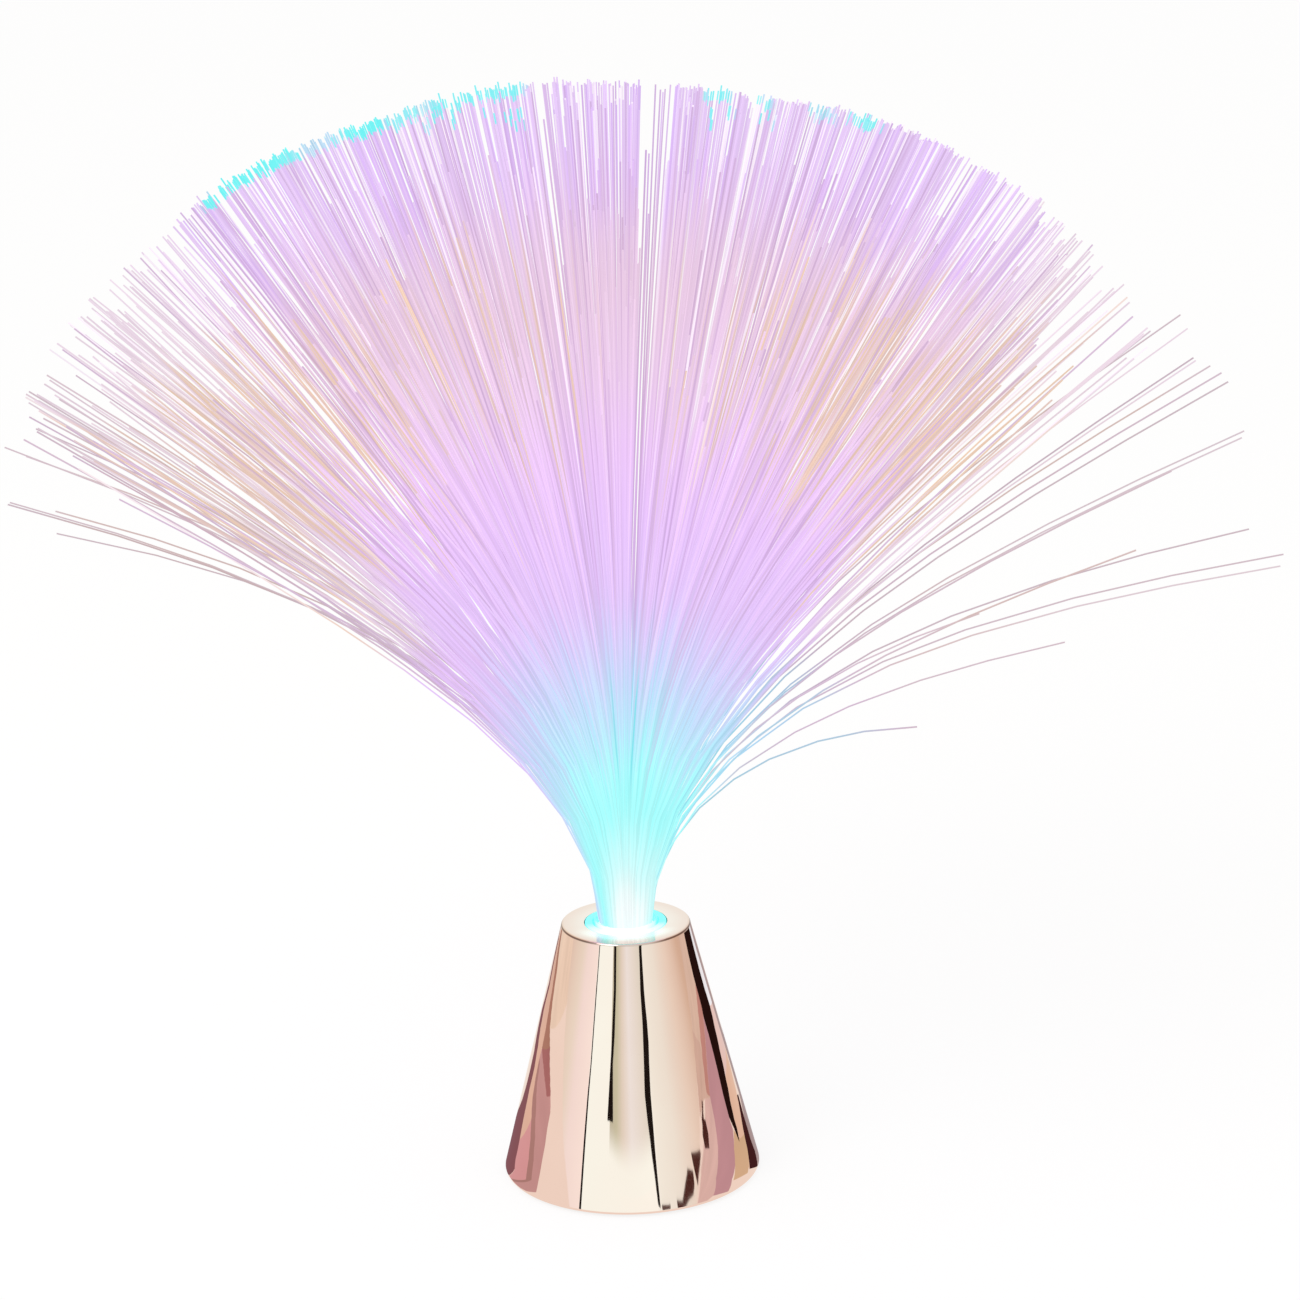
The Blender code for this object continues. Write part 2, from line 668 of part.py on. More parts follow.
def add_dimple(plate, end, y):
    """Fuses the raised bump that meets a cell's positive nub."""
    height = CONTACT_ROOM - FIT - CONTACT_WALL - FIT
    outline = [(0, -CONTACT_WALL / 2), (DIMPLE_FOOT_D / 2, -CONTACT_WALL / 2)]
    outline += [(DIMPLE_TIP_D / 2, height), (0, height)]
    tool = turned_about_x(turned("dimple", outline, SCREW_SIDES), -end)
    shift(tool, end * CONTACT_INNER_X, y, CELL_Z)
    join(plate, tool)


def contact_plate(name, end, y_places, material):
    """A sprung sheet contact at one end of the tray, one leaf for each cell it serves."""
    x_low, x_high = sorted((end * CONTACT_INNER_X, end * CONTACT_OUTER_X))
    half = CONTACT_WIDTH / 2
    plate = None
    for y in y_places:
        low = (x_low, y - half, CELL_Z - CONTACT_HEIGHT / 2)
        leaf = block(name, low, (x_high, y + half, CELL_Z + CONTACT_HEIGHT / 2), material)
        if plate is None:
            plate = leaf
        else:
            leaf.name = name + "_leaf"
            join(plate, leaf)
    if len(y_places) > 1:
        low = (x_low, min(y_places), CELL_Z)
        join(plate, block("link", low, (x_high, max(y_places), CELL_Z + LINK_HEIGHT)))
    else:
        half_tab = CONTACT_TAB_WIDTH / 2
        low = (x_low, y_places[0] - half_tab, CELL_Z)
        high = (x_high, y_places[0] + half_tab, TRAY_TOP + CONTACT_TAB_RISE)
        join(plate, block("tab", low, high))
    return plate


def make_contacts(material):
    """The contacts that put the three cells in series."""
    positive = contact_plate("contact_positive", -1, [-CELL_PITCH], material)
    add_dimple(positive, -1, -CELL_PITCH)
    link_a = contact_plate("contact_link_a", 1, [-CELL_PITCH, 0], material)
    add_spring(link_a, 1, -CELL_PITCH)
    add_dimple(link_a, 1, 0)
    link_b = contact_plate("contact_link_b", -1, [0, CELL_PITCH], material)
    add_spring(link_b, -1, 0)
    add_dimple(link_b, -1, CELL_PITCH)
    negative = contact_plate("contact_negative", 1, [CELL_PITCH], material)
    add_spring(negative, 1, CELL_PITCH)


def make_switch(body_material, knob_material, metal):
    """The slide switch above its slot: case, two terminals and the knob that reaches down."""
    low = PLATE_TOP + FIT
    top = low + SWITCH_HEIGHT
    floor_top = low + SWITCH_FLOOR
    cavity_top = floor_top + FIT + CARRIAGE_HEIGHT + FIT
    corner_low = (-SWITCH_LENGTH / 2, SWITCH_Y - SWITCH_WIDTH / 2, low)
    corner_high = (SWITCH_LENGTH / 2, SWITCH_Y + SWITCH_WIDTH / 2, top)
    case = block("switch_body", corner_low, corner_high, body_material)
    half_x = (SWITCH_TRAVEL + CARRIAGE_LENGTH) / 2 + FIT
    half_y = CARRIAGE_WIDTH / 2 + FIT
    cavity = rectangle(half_x, half_y, 0, (0, SWITCH_Y))
    cut(case, prism("switch_cavity", cavity, floor_top, cavity_top))
    mouth = rectangle(SLOT_HALF_X, SLOT_HALF_Y, 0, (0, SWITCH_Y))
    cut(case, prism("switch_mouth", mouth, low - OVERRUN, floor_top + FIT))
    for side, name in ((-1, "switch_terminal_in"), (1, "switch_terminal_out")):
        centre = (side * TERMINAL_OFFSET, SWITCH_Y)
        pin = rectangle(TERMINAL_WALL / 2, TERMINAL_LENGTH / 2, 0, centre)
        hole = rectangle(TERMINAL_WALL / 2 + FIT, TERMINAL_LENGTH / 2 + FIT, 0, centre)
        cut(case, prism(name + "_hole", hole, top - TERMINAL_DEPTH - FIT, top + OVERRUN))
        prism(name, pin, top - TERMINAL_DEPTH, top + TERMINAL_RISE, metal)
    knob_x = SWITCH_TRAVEL / 2
    centre = (knob_x, SWITCH_Y)
    button = rectangle(KNOB_LENGTH / 2, KNOB_WIDTH / 2, KNOB_FILLET, centre)
    knob_low = PLATE_UNDERSIDE - KNOB_PROUD
    knob = prism("switch_knob", button, knob_low, floor_top + FIT + SINK, knob_material)
    carriage = rectangle(CARRIAGE_LENGTH / 2, CARRIAGE_WIDTH / 2, 0, centre)
    carriage_low = floor_top + FIT
    join(knob, prism("carriage", carriage, carriage_low, carriage_low + CARRIAGE_HEIGHT))
    set_origin(knob, (knob_x, SWITCH_Y, PLATE_UNDERSIDE))


def make_lamp_holder(material):
    """The tube under the top: it seats the collar, shields the lights and holds their board."""
    stop_bottom = BOARD_TOP + FIT
    stop_top = stop_bottom + HOLDER_STOP_WALL
    shelf_bottom = SHELF_TOP - HOLDER_SHELF_WALL
    outline = [
        (HOLDER_R, HOLDER_BOTTOM),
        (HOLDER_R, HOLDER_TOP),
        (HOLDER_BORE_R, HOLDER_TOP),
        (HOLDER_BORE_R, SHELF_TOP),
        (SHELF_R, SHELF_TOP),
        (SHELF_R, shelf_bottom),
        (HOLDER_BORE_R, shelf_bottom),
        (HOLDER_BORE_R, stop_top),
        (STOP_R, stop_top),
        (STOP_R, stop_bottom),
        (HOLDER_BORE_R, stop_bottom),
        (HOLDER_BORE_R, HOLDER_BOTTOM),
    ]
    holder = turned("lamp_holder", outline, TUBE_SIDES, material)
    half = EAR_BOSS_D / 2
    inner = HOLDER_R - HOLDER_WALL / 2
    for side in (1, -1):
        ends = sorted((side * inner, side * EAR_X))
        low = (ends[0], -half, EAR_BOTTOM)
        join(holder, block("ear_arm", low, (ends[1], half, EAR_TOP)))
        place = (side * EAR_X, 0)
        join(holder, disc("ear", half, EAR_BOTTOM, EAR_TOP, SMALL_SIDES, place))
    for side in (1, -1):
        place = (side * EAR_X, 0)
        radius = HOLDER_SCREW_D / 2 + FIT
        low = EAR_BOTTOM - OVERRUN
        cut(holder, disc("ear_hole", radius, low, EAR_TOP + OVERRUN, SCREW_SIDES, place))


def make_holder_screws(material):
    for index, side in enumerate((1, -1)):
        underside = EAR_BOTTOM - FIT - SCREW_HEAD_HEIGHT
        screw(
            "holder_screw_" + str(index + 1),
            (side * EAR_X, 0),
            underside,
            HOLDER_SCREW_LENGTH,
            material,
            HOLDER_SCREW_HEAD_D,
            HOLDER_SCREW_D,
        )


def make_light_collar(material):
    """The clear bush that glows in the top: its flange sits on the holder, its lip carries the ferrule."""
    flange_bottom = HOLDER_TOP + FIT
    lip_r = COLLAR_BORE_R - COLLAR_LIP_REACH
    lip_top = COLLAR_BOTTOM + COLLAR_LIP_WALL
    outline = rounded(
        [
            (SLEEVE_R, COLLAR_BOTTOM, 0),
            (SLEEVE_R, flange_bottom, 0),
            (FLANGE_R, flange_bottom, 0),
            (FLANGE_R, COLLAR_TOP, COLLAR_FILLET),
            (COLLAR_BORE_R, COLLAR_TOP, COLLAR_FILLET),
            (COLLAR_BORE_R, lip_top, 0),
            (lip_r, lip_top, 0),
            (lip_r, COLLAR_BOTTOM, 0),
        ]
    )
    return turned("light_collar", outline, TUBE_SIDES, material)


def make_light_board(board, cap, black, clear, metal):
    """The round board, its three lights above, its chip and resistors below, and the cap that holds it."""
    plate = disc("led_board", SLEEVE_R, BOARD_BOTTOM, BOARD_TOP, TUBE_SIDES, material=board)
    names = ("led_red", "led_green", "led_blue")
    shoulder = LED_BOTTOM + LED_FLANGE_WALL
    for index, name in enumerate(names):
        azimuth = math.tau * (index / len(names)) + math.pi / 2
        x = LED_CIRCLE_D / 2 * math.cos(azimuth)
        y = LED_CIRCLE_D / 2 * math.sin(azimuth)
        dome = [
            (LED_D / 2 * math.cos(angle), LED_TOP - LED_D / 2 * (1 - math.sin(angle)))
            for angle in (math.pi / 2 * step / ARC_STEPS for step in range(ARC_STEPS))
        ]
        outline = [(0, LED_BOTTOM), (LED_FLANGE_D / 2, LED_BOTTOM), (LED_FLANGE_D / 2, shoulder)]
        outline += [(LED_D / 2, shoulder)] + dome + [(0, LED_TOP)]
        light = shift(turned(name, outline, SCREW_SIDES, clear[index]), x, y, 0)
        for side in (1, -1):
            lead_x = x - side * LEAD_PITCH / 2 * math.sin(azimuth)
            lead_y = y + side * LEAD_PITCH / 2 * math.cos(azimuth)
            half = LEAD_WIDTH / 2
            lead = rectangle(half, half, 0, (lead_x, lead_y))
            join(light, prism("lead", lead, BOARD_BOTTOM - LEAD_BELOW, LED_BOTTOM + SINK))
            hole = rectangle(half + FIT, half + FIT, 0, (lead_x, lead_y))
            cut(plate, prism("lead_hole", hole, BOARD_BOTTOM - OVERRUN, BOARD_TOP + OVERRUN))
    under = BOARD_BOTTOM - FIT
    chip = rectangle(CHIP_LENGTH / 2, CHIP_WIDTH / 2, 0)
    prism("driver_chip", chip, under - CHIP_HEIGHT, under, black)
    for index, azimuth in enumerate((RESISTOR_AZIMUTH, math.pi - RESISTOR_AZIMUTH)):
        x = RESISTOR_CIRCLE_D / 2 * math.cos(azimuth)
        y = RESISTOR_CIRCLE_D / 2 * math.sin(azimuth)
        outline = rectangle(RESISTOR_LENGTH / 2, RESISTOR_WIDTH / 2, 0, (x, y))
        prism("resistor_" + str(index + 1), outline, under - RESISTOR_HEIGHT, under, black)
    cap_top = HOLDER_BOTTOM - FIT
    cap_bottom = cap_top - CAP_WALL
    ring_r = HOLDER_BORE_R - FIT
    outline = [
        (CAP_HOLE_D / 2, cap_bottom),
        (HOLDER_R, cap_bottom),
        (HOLDER_R, cap_top),
        (ring_r, cap_top),
        (ring_r, under),
        (ring_r - CAP_RING_WALL, under),
        (ring_r - CAP_RING_WALL, cap_top),
        (CAP_HOLE_D / 2, cap_top),
    ]
    return turned("board_cap", outline, TUBE_SIDES, cap)


def make_bundle_end(ferrule_material, core_material):
    """The potted lower end of the bundle and the sleeve round it."""
    outline = rounded(
        [
            (FERRULE_D / 2, FERRULE_BOTTOM, 0),
            (FERRULE_D / 2, FERRULE_TOP, FERRULE_FILLET),
            (FERRULE_BORE_R, FERRULE_TOP, FERRULE_FILLET),
            (FERRULE_BORE_R, FERRULE_BOTTOM, 0),
        ]
    )
    sleeve = turned("ferrule", outline, TUBE_SIDES, ferrule_material)
    core = disc("fibre_core", CORE_R, CORE_BOTTOM, CORE_TOP, TUBE_SIDES, material=core_material)
    return sleeve, core


def fibre_centres(foot, lean, length, shares):
    """Points along one fibre, which bends in the upright plane of its lean."""
    turn = lean.length / (1 - math.exp(-1 / BEND_LENGTH_SHARE))
    towards = lean.normalized()
    across = 0
    up = 0
    points = [Vector((*foot, SLICE_TOP))]
    for step in range(PATH_STEPS):
        share = (step + 0.5) / PATH_STEPS
        angle = turn * (1 - math.exp(-share / BEND_LENGTH_SHARE))
        across += length / PATH_STEPS * math.sin(angle)
        up += length / PATH_STEPS * math.cos(angle)
        if (step + 1) / PATH_STEPS >= shares[len(points)] - MERGE:
            points.append(Vector((*(foot + towards * across), SLICE_TOP + up)))
    return points


def fibre_routes():
    """Every fibre's points. Feet fill the bundle evenly and a fibre leans as far out as its foot lies."""
    random = np.random.default_rng(SEED)
    reach = CORE_R - FOOT_MARGIN - FIBRE_D / 2
    routes = []
    for index in range(FIBRE_COUNT):
        share = math.sqrt((index + 0.5) / FIBRE_COUNT)
        turn = index * GOLDEN_ANGLE
        place = Vector((math.cos(turn), math.sin(turn))) * share
        foot = place * reach
        jitter = Vector(random.uniform(-1, 1, 2)) * LEAN_JITTER * (1 - share)
        lean_x = np.interp(place.x, FOOT_PLACE_SHARES, SPRAY_LEANS_X)
        lean = Vector((lean_x, SPRAY_LEAN_Y * place.y)) + jitter
        shorter = EDGE_SHORTER_SHARE * share**4 + LENGTH_JITTER_SHARE * random.random()
        length = FIBRE_LENGTH * (1 - shorter)
        shares = DROOPING_SHARES if lean.length > DROOPING_LEAN else FIBRE_SHARES
        routes.append(fibre_centres(foot, lean, length, shares))
    return routes


def least_gap(routes):
    """The smallest distance between the surfaces of any two fibres, measured between their segments."""
    starts = np.array([point for route in routes for point in route[:-1]])
    ends = np.array([point for route in routes for point in route[1:]])
    owner = np.array([index for index, route in enumerate(routes) for _ in route[1:]])
    closest = np.inf
    for index in range(len(routes)):
        mine = np.flatnonzero(owner == index)
        others = np.flatnonzero(owner > index)
        for segment in mine:
            if len(others):
                gap = segment_gap(starts[segment], ends[segment], starts[others], ends[others])
                closest = min(closest, gap)
    return closest - FIBRE_D


def segment_gap(start, end, starts, ends):
    """The least distance from one segment to any of several others."""
    along = end - start
    others = ends - starts
    between = start - starts
    a = along @ along
    b = others @ along
    c = np.einsum("ij,ij->i", others, others)
    d = between @ along
    e = np.einsum("ij,ij->i", others, between)
    spread = a * c - b * b
    s = np.clip((b * e - c * d) / np.where(spread > 0, spread, np.inf), 0, 1)
    t = np.clip((b * s + e) / c, 0, 1)
    s = np.clip((b * t - d) / a, 0, 1)
    nearest = between + s[:, None] * along - t[:, None] * others
    return float(np.sqrt(np.einsum("ij,ij->i", nearest, nearest).min()))


def make_spray(material):
    """The fibres, fused at their feet to the top slice of the potting."""
    section = bpy.data.curves.new("fibre_section", "CURVE")
    outline = section.splines.new("POLY")
    outline.points.add(FIBRE_SIDES - 1)
    outline.use_cyclic_u = True
    for index, point in enumerate(outline.points):
        angle = -math.tau * index / FIBRE_SIDES
        point.co = (FIBRE_D / 2 * math.cos(angle), FIBRE_D / 2 * math.sin(angle), 0, 1)
    section_guide = bpy.data.objects.new("fibre_section", section)
    bpy.context.scene.collection.objects.link(section_guide)
    curve = bpy.data.curves.new("fibre_paths", "CURVE")
    curve.dimensions = "3D"
    curve.bevel_mode = "OBJECT"
    curve.bevel_object = section_guide
    curve.use_fill_caps = True
    routes = fibre_routes()
    for route in routes:
        path = [route[0] - Vector((0, 0, SINK))] + route[1:]
        spline = curve.splines.new("POLY")
        spline.points.add(len(path) - 1)
        for point, place in zip(spline.points, path):
            point.co = (*place, 1)
    guide = bpy.data.objects.new("fibre_paths", curve)
    bpy.context.scene.collection.objects.link(guide)
    bpy.context.view_layer.update()
    evaluated = guide.evaluated_get(bpy.context.evaluated_depsgraph_get())
    shape = bmesh.new()
    mesh = bpy.data.meshes.new_from_object(evaluated)
    shape.from_mesh(mesh)
    fibres = add_object("fibres", shape, None)
    bpy.data.objects.remove(guide)
    bpy.data.objects.remove(section_guide)
    spray = disc("fibre_spray", CORE_R, SLICE_BOTTOM, SLICE_TOP, TUBE_SIDES, material=material)
    join(spray, fibres)
    print("least gap between fibres, m:", round(least_gap(routes), 6))
    return spray


def make_feet(material):
    """Four rubber pads under the base plate."""
    height = PLATE_UNDERSIDE - FIT
    half_turn = math.pi
    azimuths = (FOOT_AZIMUTH, half_turn - FOOT_AZIMUTH, half_turn + FOOT_AZIMUTH, -FOOT_AZIMUTH)
    for index, azimuth in enumerate(azimuths):
        outline = rounded(
            [
                (0, 0, 0),
                (FOOT_D / 2, 0, FOOT_FILLET),
                (FOOT_D / 2, height, 0),
                (0, height, 0),
            ]
        )
        pad = turned("foot_pad_" + str(index + 1), outline, SMALL_SIDES, material)
        x = FOOT_CIRCLE_R * math.cos(azimuth)
        shift(pad, x, FOOT_CIRCLE_R * math.sin(azimuth), 0)


def make_wires(red, white, black):
    """The three leads inside the base, from solder point to solder point."""
    tab_top = TRAY_TOP + CONTACT_TAB_RISE + FIT
    contact_x = (CONTACT_INNER_X + CONTACT_OUTER_X) / 2
    terminal_top = PLATE_TOP + FIT + SWITCH_HEIGHT + TERMINAL_RISE + FIT
    board_end = BOARD_BOTTOM - FIT
    pad_x = CAP_HOLE_D / 6
    pad_y = -CAP_HOLE_D * 0.4
    climb = 3 * WIRE_D
    cap_bottom = HOLDER_BOTTOM - FIT - CAP_WALL
    middle = (tab_top + cap_bottom) / 2
    in_x = -TERMINAL_OFFSET
    wire(
        "wire_red",
        [
            (-contact_x, -CELL_PITCH, tab_top),
            (-contact_x * 0.98, -CELL_PITCH * 0.85, tab_top + climb * 0.8),
            (-contact_x * 0.75, SWITCH_Y * 0.2, tab_top + climb),
            (-contact_x * 0.4, SWITCH_Y * 0.7, tab_top + climb * 0.8),
            (in_x * 1.4, SWITCH_Y * 0.97, terminal_top + climb),
            (in_x, SWITCH_Y, terminal_top),
        ],
        red,
    )
    wire(
        "wire_white",
        [
            (-in_x, SWITCH_Y, terminal_top),
            (-in_x * 1.1, SWITCH_Y * 0.97, terminal_top + climb),
            (-in_x, SWITCH_Y * 0.7, (terminal_top + middle) / 2),
            (0, SWITCH_Y * 0.3, middle),
            (-pad_x, pad_y / 2, cap_bottom - climb),
            (-pad_x, pad_y, cap_bottom + CAP_WALL),
            (-pad_x, pad_y, board_end),
        ],
        white,
    )
    wire(
        "wire_black",
        [
            (contact_x, CELL_PITCH, tab_top),
            (contact_x * 0.97, CELL_PITCH * 0.9, tab_top + climb),
            (contact_x * 0.6, CELL_PITCH * 0.5, (tab_top + middle) / 2),
            (contact_x * 0.3, 0, middle),
            (pad_x, pad_y / 2, cap_bottom - climb),
            (pad_x, pad_y, cap_bottom + CAP_WALL),
            (pad_x, pad_y, board_end),
        ],
        black,
    )


def main():
    clear_scene()
    rose_chrome = finish("rose_chrome", (0.83, 0.56, 0.5), 0.08, metallic=1.0)
    clear_plastic = finish("clear_plastic", (0.72, 0.97, 1.0), 0.1, alpha=0.6, glow=0.6)
    fibre_glow = finish("fibre_glow", (0.78, 0.6, 0.9), 0.3, glow=0.4)
    white_plastic = finish("white_plastic", (0.85, 0.85, 0.84), 0.4)
    black_plastic = finish("black_plastic", (0.03, 0.03, 0.03), 0.4)
    bronze_plastic = finish("plate_plastic", (0.1, 0.1, 0.1), 0.45)
    steel = finish("steel", (0.6, 0.6, 0.62), 0.3, metallic=1.0)
    cell_jacket = finish("cell_jacket", (0.25, 0.35, 0.3), 0.35)
    board_green = finish("board_green", (0.02, 0.2, 0.07), 0.4)
    rubber = finish("rubber", (0.05, 0.05, 0.05), 0.8)
    sleeve = finish("sleeve", (0.8, 0.9, 0.92), 0.35, glow=0.3)
    red = finish("red_plastic", (0.6, 0.03, 0.03), 0.4)
    led_red = finish("led_red_lens", (0.9, 0.15, 0.1), 0.15, glow=0.3)
    led_green = finish("led_green_lens", (0.1, 0.8, 0.2), 0.15, glow=0.3)
    led_blue = finish("led_blue_lens", (0.1, 0.3, 0.95), 0.15, glow=0.3)

    make_base_shell(rose_chrome)
    make_base_plate(bronze_plastic)
    make_battery_door(bronze_plastic, steel)
    make_cells(cell_jacket)
    make_contacts(steel)
    make_switch(black_plastic, white_plastic, steel)
    make_lamp_holder(white_plastic)
    make_holder_screws(steel)
    collar = make_light_collar(clear_plastic)
    make_light_board(board_green, white_plastic, black_plastic, (led_red, led_green, led_blue), steel)
    bundle = [*make_bundle_end(sleeve, fibre_glow), make_spray(fibre_glow)]
    for piece in bundle:
        piece.parent = collar
    for index, place in enumerate(screw_places()):
        screw("base_screw_" + str(index + 1), place, PLATE_UNDERSIDE, BASE_SCREW_LENGTH, steel)
    make_feet(rubber)
    make_wires(red, white_plastic, black_plastic)


main()
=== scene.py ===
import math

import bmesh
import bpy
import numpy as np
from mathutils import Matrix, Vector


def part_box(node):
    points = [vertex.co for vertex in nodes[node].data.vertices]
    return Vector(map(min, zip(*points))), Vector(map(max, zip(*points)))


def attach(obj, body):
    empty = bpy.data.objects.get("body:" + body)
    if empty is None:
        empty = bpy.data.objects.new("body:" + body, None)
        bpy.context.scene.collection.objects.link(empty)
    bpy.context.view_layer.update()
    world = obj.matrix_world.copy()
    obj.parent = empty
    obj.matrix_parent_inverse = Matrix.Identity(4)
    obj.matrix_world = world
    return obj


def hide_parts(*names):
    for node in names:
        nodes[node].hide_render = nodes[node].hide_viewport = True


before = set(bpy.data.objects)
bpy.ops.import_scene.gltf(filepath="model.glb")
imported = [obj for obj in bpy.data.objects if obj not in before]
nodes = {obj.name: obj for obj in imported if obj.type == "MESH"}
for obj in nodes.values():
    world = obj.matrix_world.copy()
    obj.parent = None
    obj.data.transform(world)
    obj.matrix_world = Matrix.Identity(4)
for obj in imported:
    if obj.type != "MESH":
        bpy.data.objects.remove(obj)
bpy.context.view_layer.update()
# %% [markdown]
# # A fibre optic lamp
#
# The real object is a small table lamp. Three coloured lights inside a mirror-plated cone shine
# up into the polished foot of a bundle of plastic fibres. Each fibre carries the light to its own
# tip, so the tips sparkle and the bent stretches glow softly. The frame that was just loaded
# holds every solid at its true size and place. This script only adds the looks: finer meshes
# where the plain solids are too coarse, and a finish made of nodes for every surface.
#
# The first cell keeps the box of the solids, because the finished look has to stay inside it.

MM = 0.001
shell_low, shell_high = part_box("base_shell")
collar_low, collar_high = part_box("light_collar")
_, ferrule_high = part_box("ferrule")
spray_low, spray_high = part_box("fibre_spray")

# %% [markdown]
# ## The camera
#
# The photograph was taken from a little above the lamp, with a long lens that keeps the cone's
# sides nearly straight. The camera could be placed with Blender's own constraints, but a position,
# a target and a small roll about the line of sight say the same in three values. The lamp leans
# slightly to the left in the picture, so the camera is rolled the other way.

# %% Camera
CAMERA_PLACE = Vector((0, -1048.2, 472.5)) * MM
CAMERA_TARGET = Vector((0, 0, 150)) * MM
CAMERA_ROLL = math.radians(1.62)
CAMERA_LENS = 107.57
PICTURE_SIDE = 1300
TARGET_PIXEL = (618.7, 675.6)

camera_data = bpy.data.cameras.new("camera")
camera_data.lens = CAMERA_LENS
camera_data.shift_x = 0.5 - TARGET_PIXEL[0] / PICTURE_SIDE
camera_data.shift_y = TARGET_PIXEL[1] / PICTURE_SIDE - 0.5
camera_data.clip_start = 0.01
camera = bpy.data.objects.new("camera", camera_data)
bpy.context.scene.collection.objects.link(camera)
sight = (CAMERA_TARGET - CAMERA_PLACE).to_track_quat("-Z", "Y").to_matrix().to_4x4()
camera.matrix_world = Matrix.Translation(CAMERA_PLACE) @ sight @ Matrix.Rotation(-CAMERA_ROLL, 4, "Z")
bpy.context.scene.camera = camera
bpy.context.scene.view_settings.view_transform = "Standard"
print("camera", round((CAMERA_TARGET - CAMERA_PLACE).length / MM), "mm from its target")

# %% [markdown]
# ## Shader maths written as Python
#
# A finish is a small network of nodes. Wiring it by hand takes many lines for one sum, so a small
# class wraps an output of a node and lets Python's own signs add the Math nodes. A colour never
# goes through them, because a Math node turns a colour grey: colours are mixed with a Mix node.

# %% Socket arithmetic


class Output:
    """One output of a node. Python's signs on it add Math nodes to the same network."""

    def __init__(self, finish, socket):
        self.finish = finish
        self.socket = socket

    def maths(self, operation, *values, clamp=False):
        settings = {"operation": operation, "use_clamp": clamp}
        return self.finish.node("Math", settings, dict(enumerate(values)))

    def __add__(self, other):
        return self.maths("ADD", self, other)

    def __sub__(self, other):
        return self.maths("SUBTRACT", self, other)

    def __rsub__(self, other):
        return self.maths("SUBTRACT", other, self)

    def __mul__(self, other):
        return self.maths("MULTIPLY", self, other)

    def __truediv__(self, other):
        return self.maths("DIVIDE", self, other)

    def __abs__(self):
        return self.maths("ABSOLUTE", self)

    __radd__ = __add__
    __rmul__ = __mul__

    def root(self):
        return self.maths("SQRT", self)

    def clamped(self):
        return self.maths("ADD", self, 0, clamp=True)

    def between(self, low, high):
        """A smooth step that is 0 up to the low value and 1 from the high one."""
        settings = {"interpolation_type": "SMOOTHSTEP"}
        values = {"Value": self, "From Min": low, "From Max": high}
        return self.finish.node("MapRange", settings, values)


def srgb(red, green, blue):
    """A colour as a paint tool shows it, from 0 to 255, turned into light."""

    def light(value):
        share = value / 255
        return share / 12.92 if share <= 0.04045 else ((share + 0.055) / 1.055) ** 2.4

    return (light(red), light(green), light(blue), 1)


BLACK = (0, 0, 0, 1)


def colours(*stops):
    """Stops of a ramp of colours, each given as (place, (red, green, blue))."""
    return [(place, srgb(*colour)) for place, colour in stops]


def greys(*stops):
    """Stops of a ramp that stands for plain numbers, each given as (place, number)."""
    return [(place, (tone, tone, tone, 1)) for place, tone in stops]


class Finish:
    """A network of nodes: a material's, or the world's."""

    def __init__(self, name, owner=None):
        self.material = owner or bpy.data.materials.new(name)
        self.material.use_nodes = True
        self.tree = self.material.node_tree
        self.tree.nodes.clear()

    def node(self, kind, settings=None, values=None, output=0):
        """Adds a node: its settings first, then the values or links of its sockets."""
        node = self.tree.nodes.new("ShaderNode" + kind)
        for name, value in (settings or {}).items():
            if name == "stops":
                self.set_stops(node.color_ramp, value)
            else:
                setattr(node, name, value)
        for name, value in (values or {}).items():
            if isinstance(value, Output):
                self.tree.links.new(value.socket, node.inputs[name])
            else:
                node.inputs[name].default_value = value
        return Output(self, node.outputs[output])

    def set_stops(self, band, stops):
        while len(band.elements) < len(stops):
            band.elements.new(1)
        for element, (place, colour) in zip(band.elements, sorted(stops)):
            element.position = place
            element.color = colour

    def place(self):
        """The point that is shaded, in the lamp's own coordinates."""
        return self.node("TexCoord", output="Object")

    def axes(self):
        split = self.node("SeparateXYZ", values={0: self.place()}).socket.node
        return [Output(self, socket) for socket in split.outputs]

    def attribute(self, name):
        return self.node("Attribute", {"attribute_name": name}, output="Fac")

    def ray(self, kind):
        """1 where the ray that arrives is of this kind, and otherwise 0."""
        return self.node("LightPath", output=f"Is {kind} Ray")

    def noise(self, scale, detail=2.0, vector=None):
        values = {"Vector": vector or self.place(), "Scale": scale, "Detail": detail}
        return self.node("TexNoise", values=values)

    def ramp(self, value, stops):
        return self.node("ValToRGB", {"stops": stops}, {"Fac": value})

    def mix(self, share, first, second):
        values = {"Factor": share, 6: first, 7: second}
        return self.node("Mix", {"data_type": "RGBA"}, values, output=2)

    def bump(self, height, strength, distance):
        values = {"Height": height, "Strength": strength, "Distance": distance}
        return self.node("Bump", values=values)

    def emission(self, colour, strength=1.0):
        return self.node("Emission", values={"Color": colour, "Strength": strength})

    def mix_shaders(self, share, first, second):
        return self.node("MixShader", values={0: share, 1: first, 2: second})

    def surface(self, shader, kind="OutputMaterial"):
        end = self.tree.nodes.new("ShaderNode" + kind)
        self.tree.links.new(shader.socket, end.inputs["Surface"])

    def principled(self, **values):
        """The usual shader; an underscore in a name stands for a space."""
        named = {name.replace("_", " "): value for name, value in values.items()}
        self.surface(self.node("BsdfPrincipled", values=named))


print("white is", srgb(255, 255, 255))

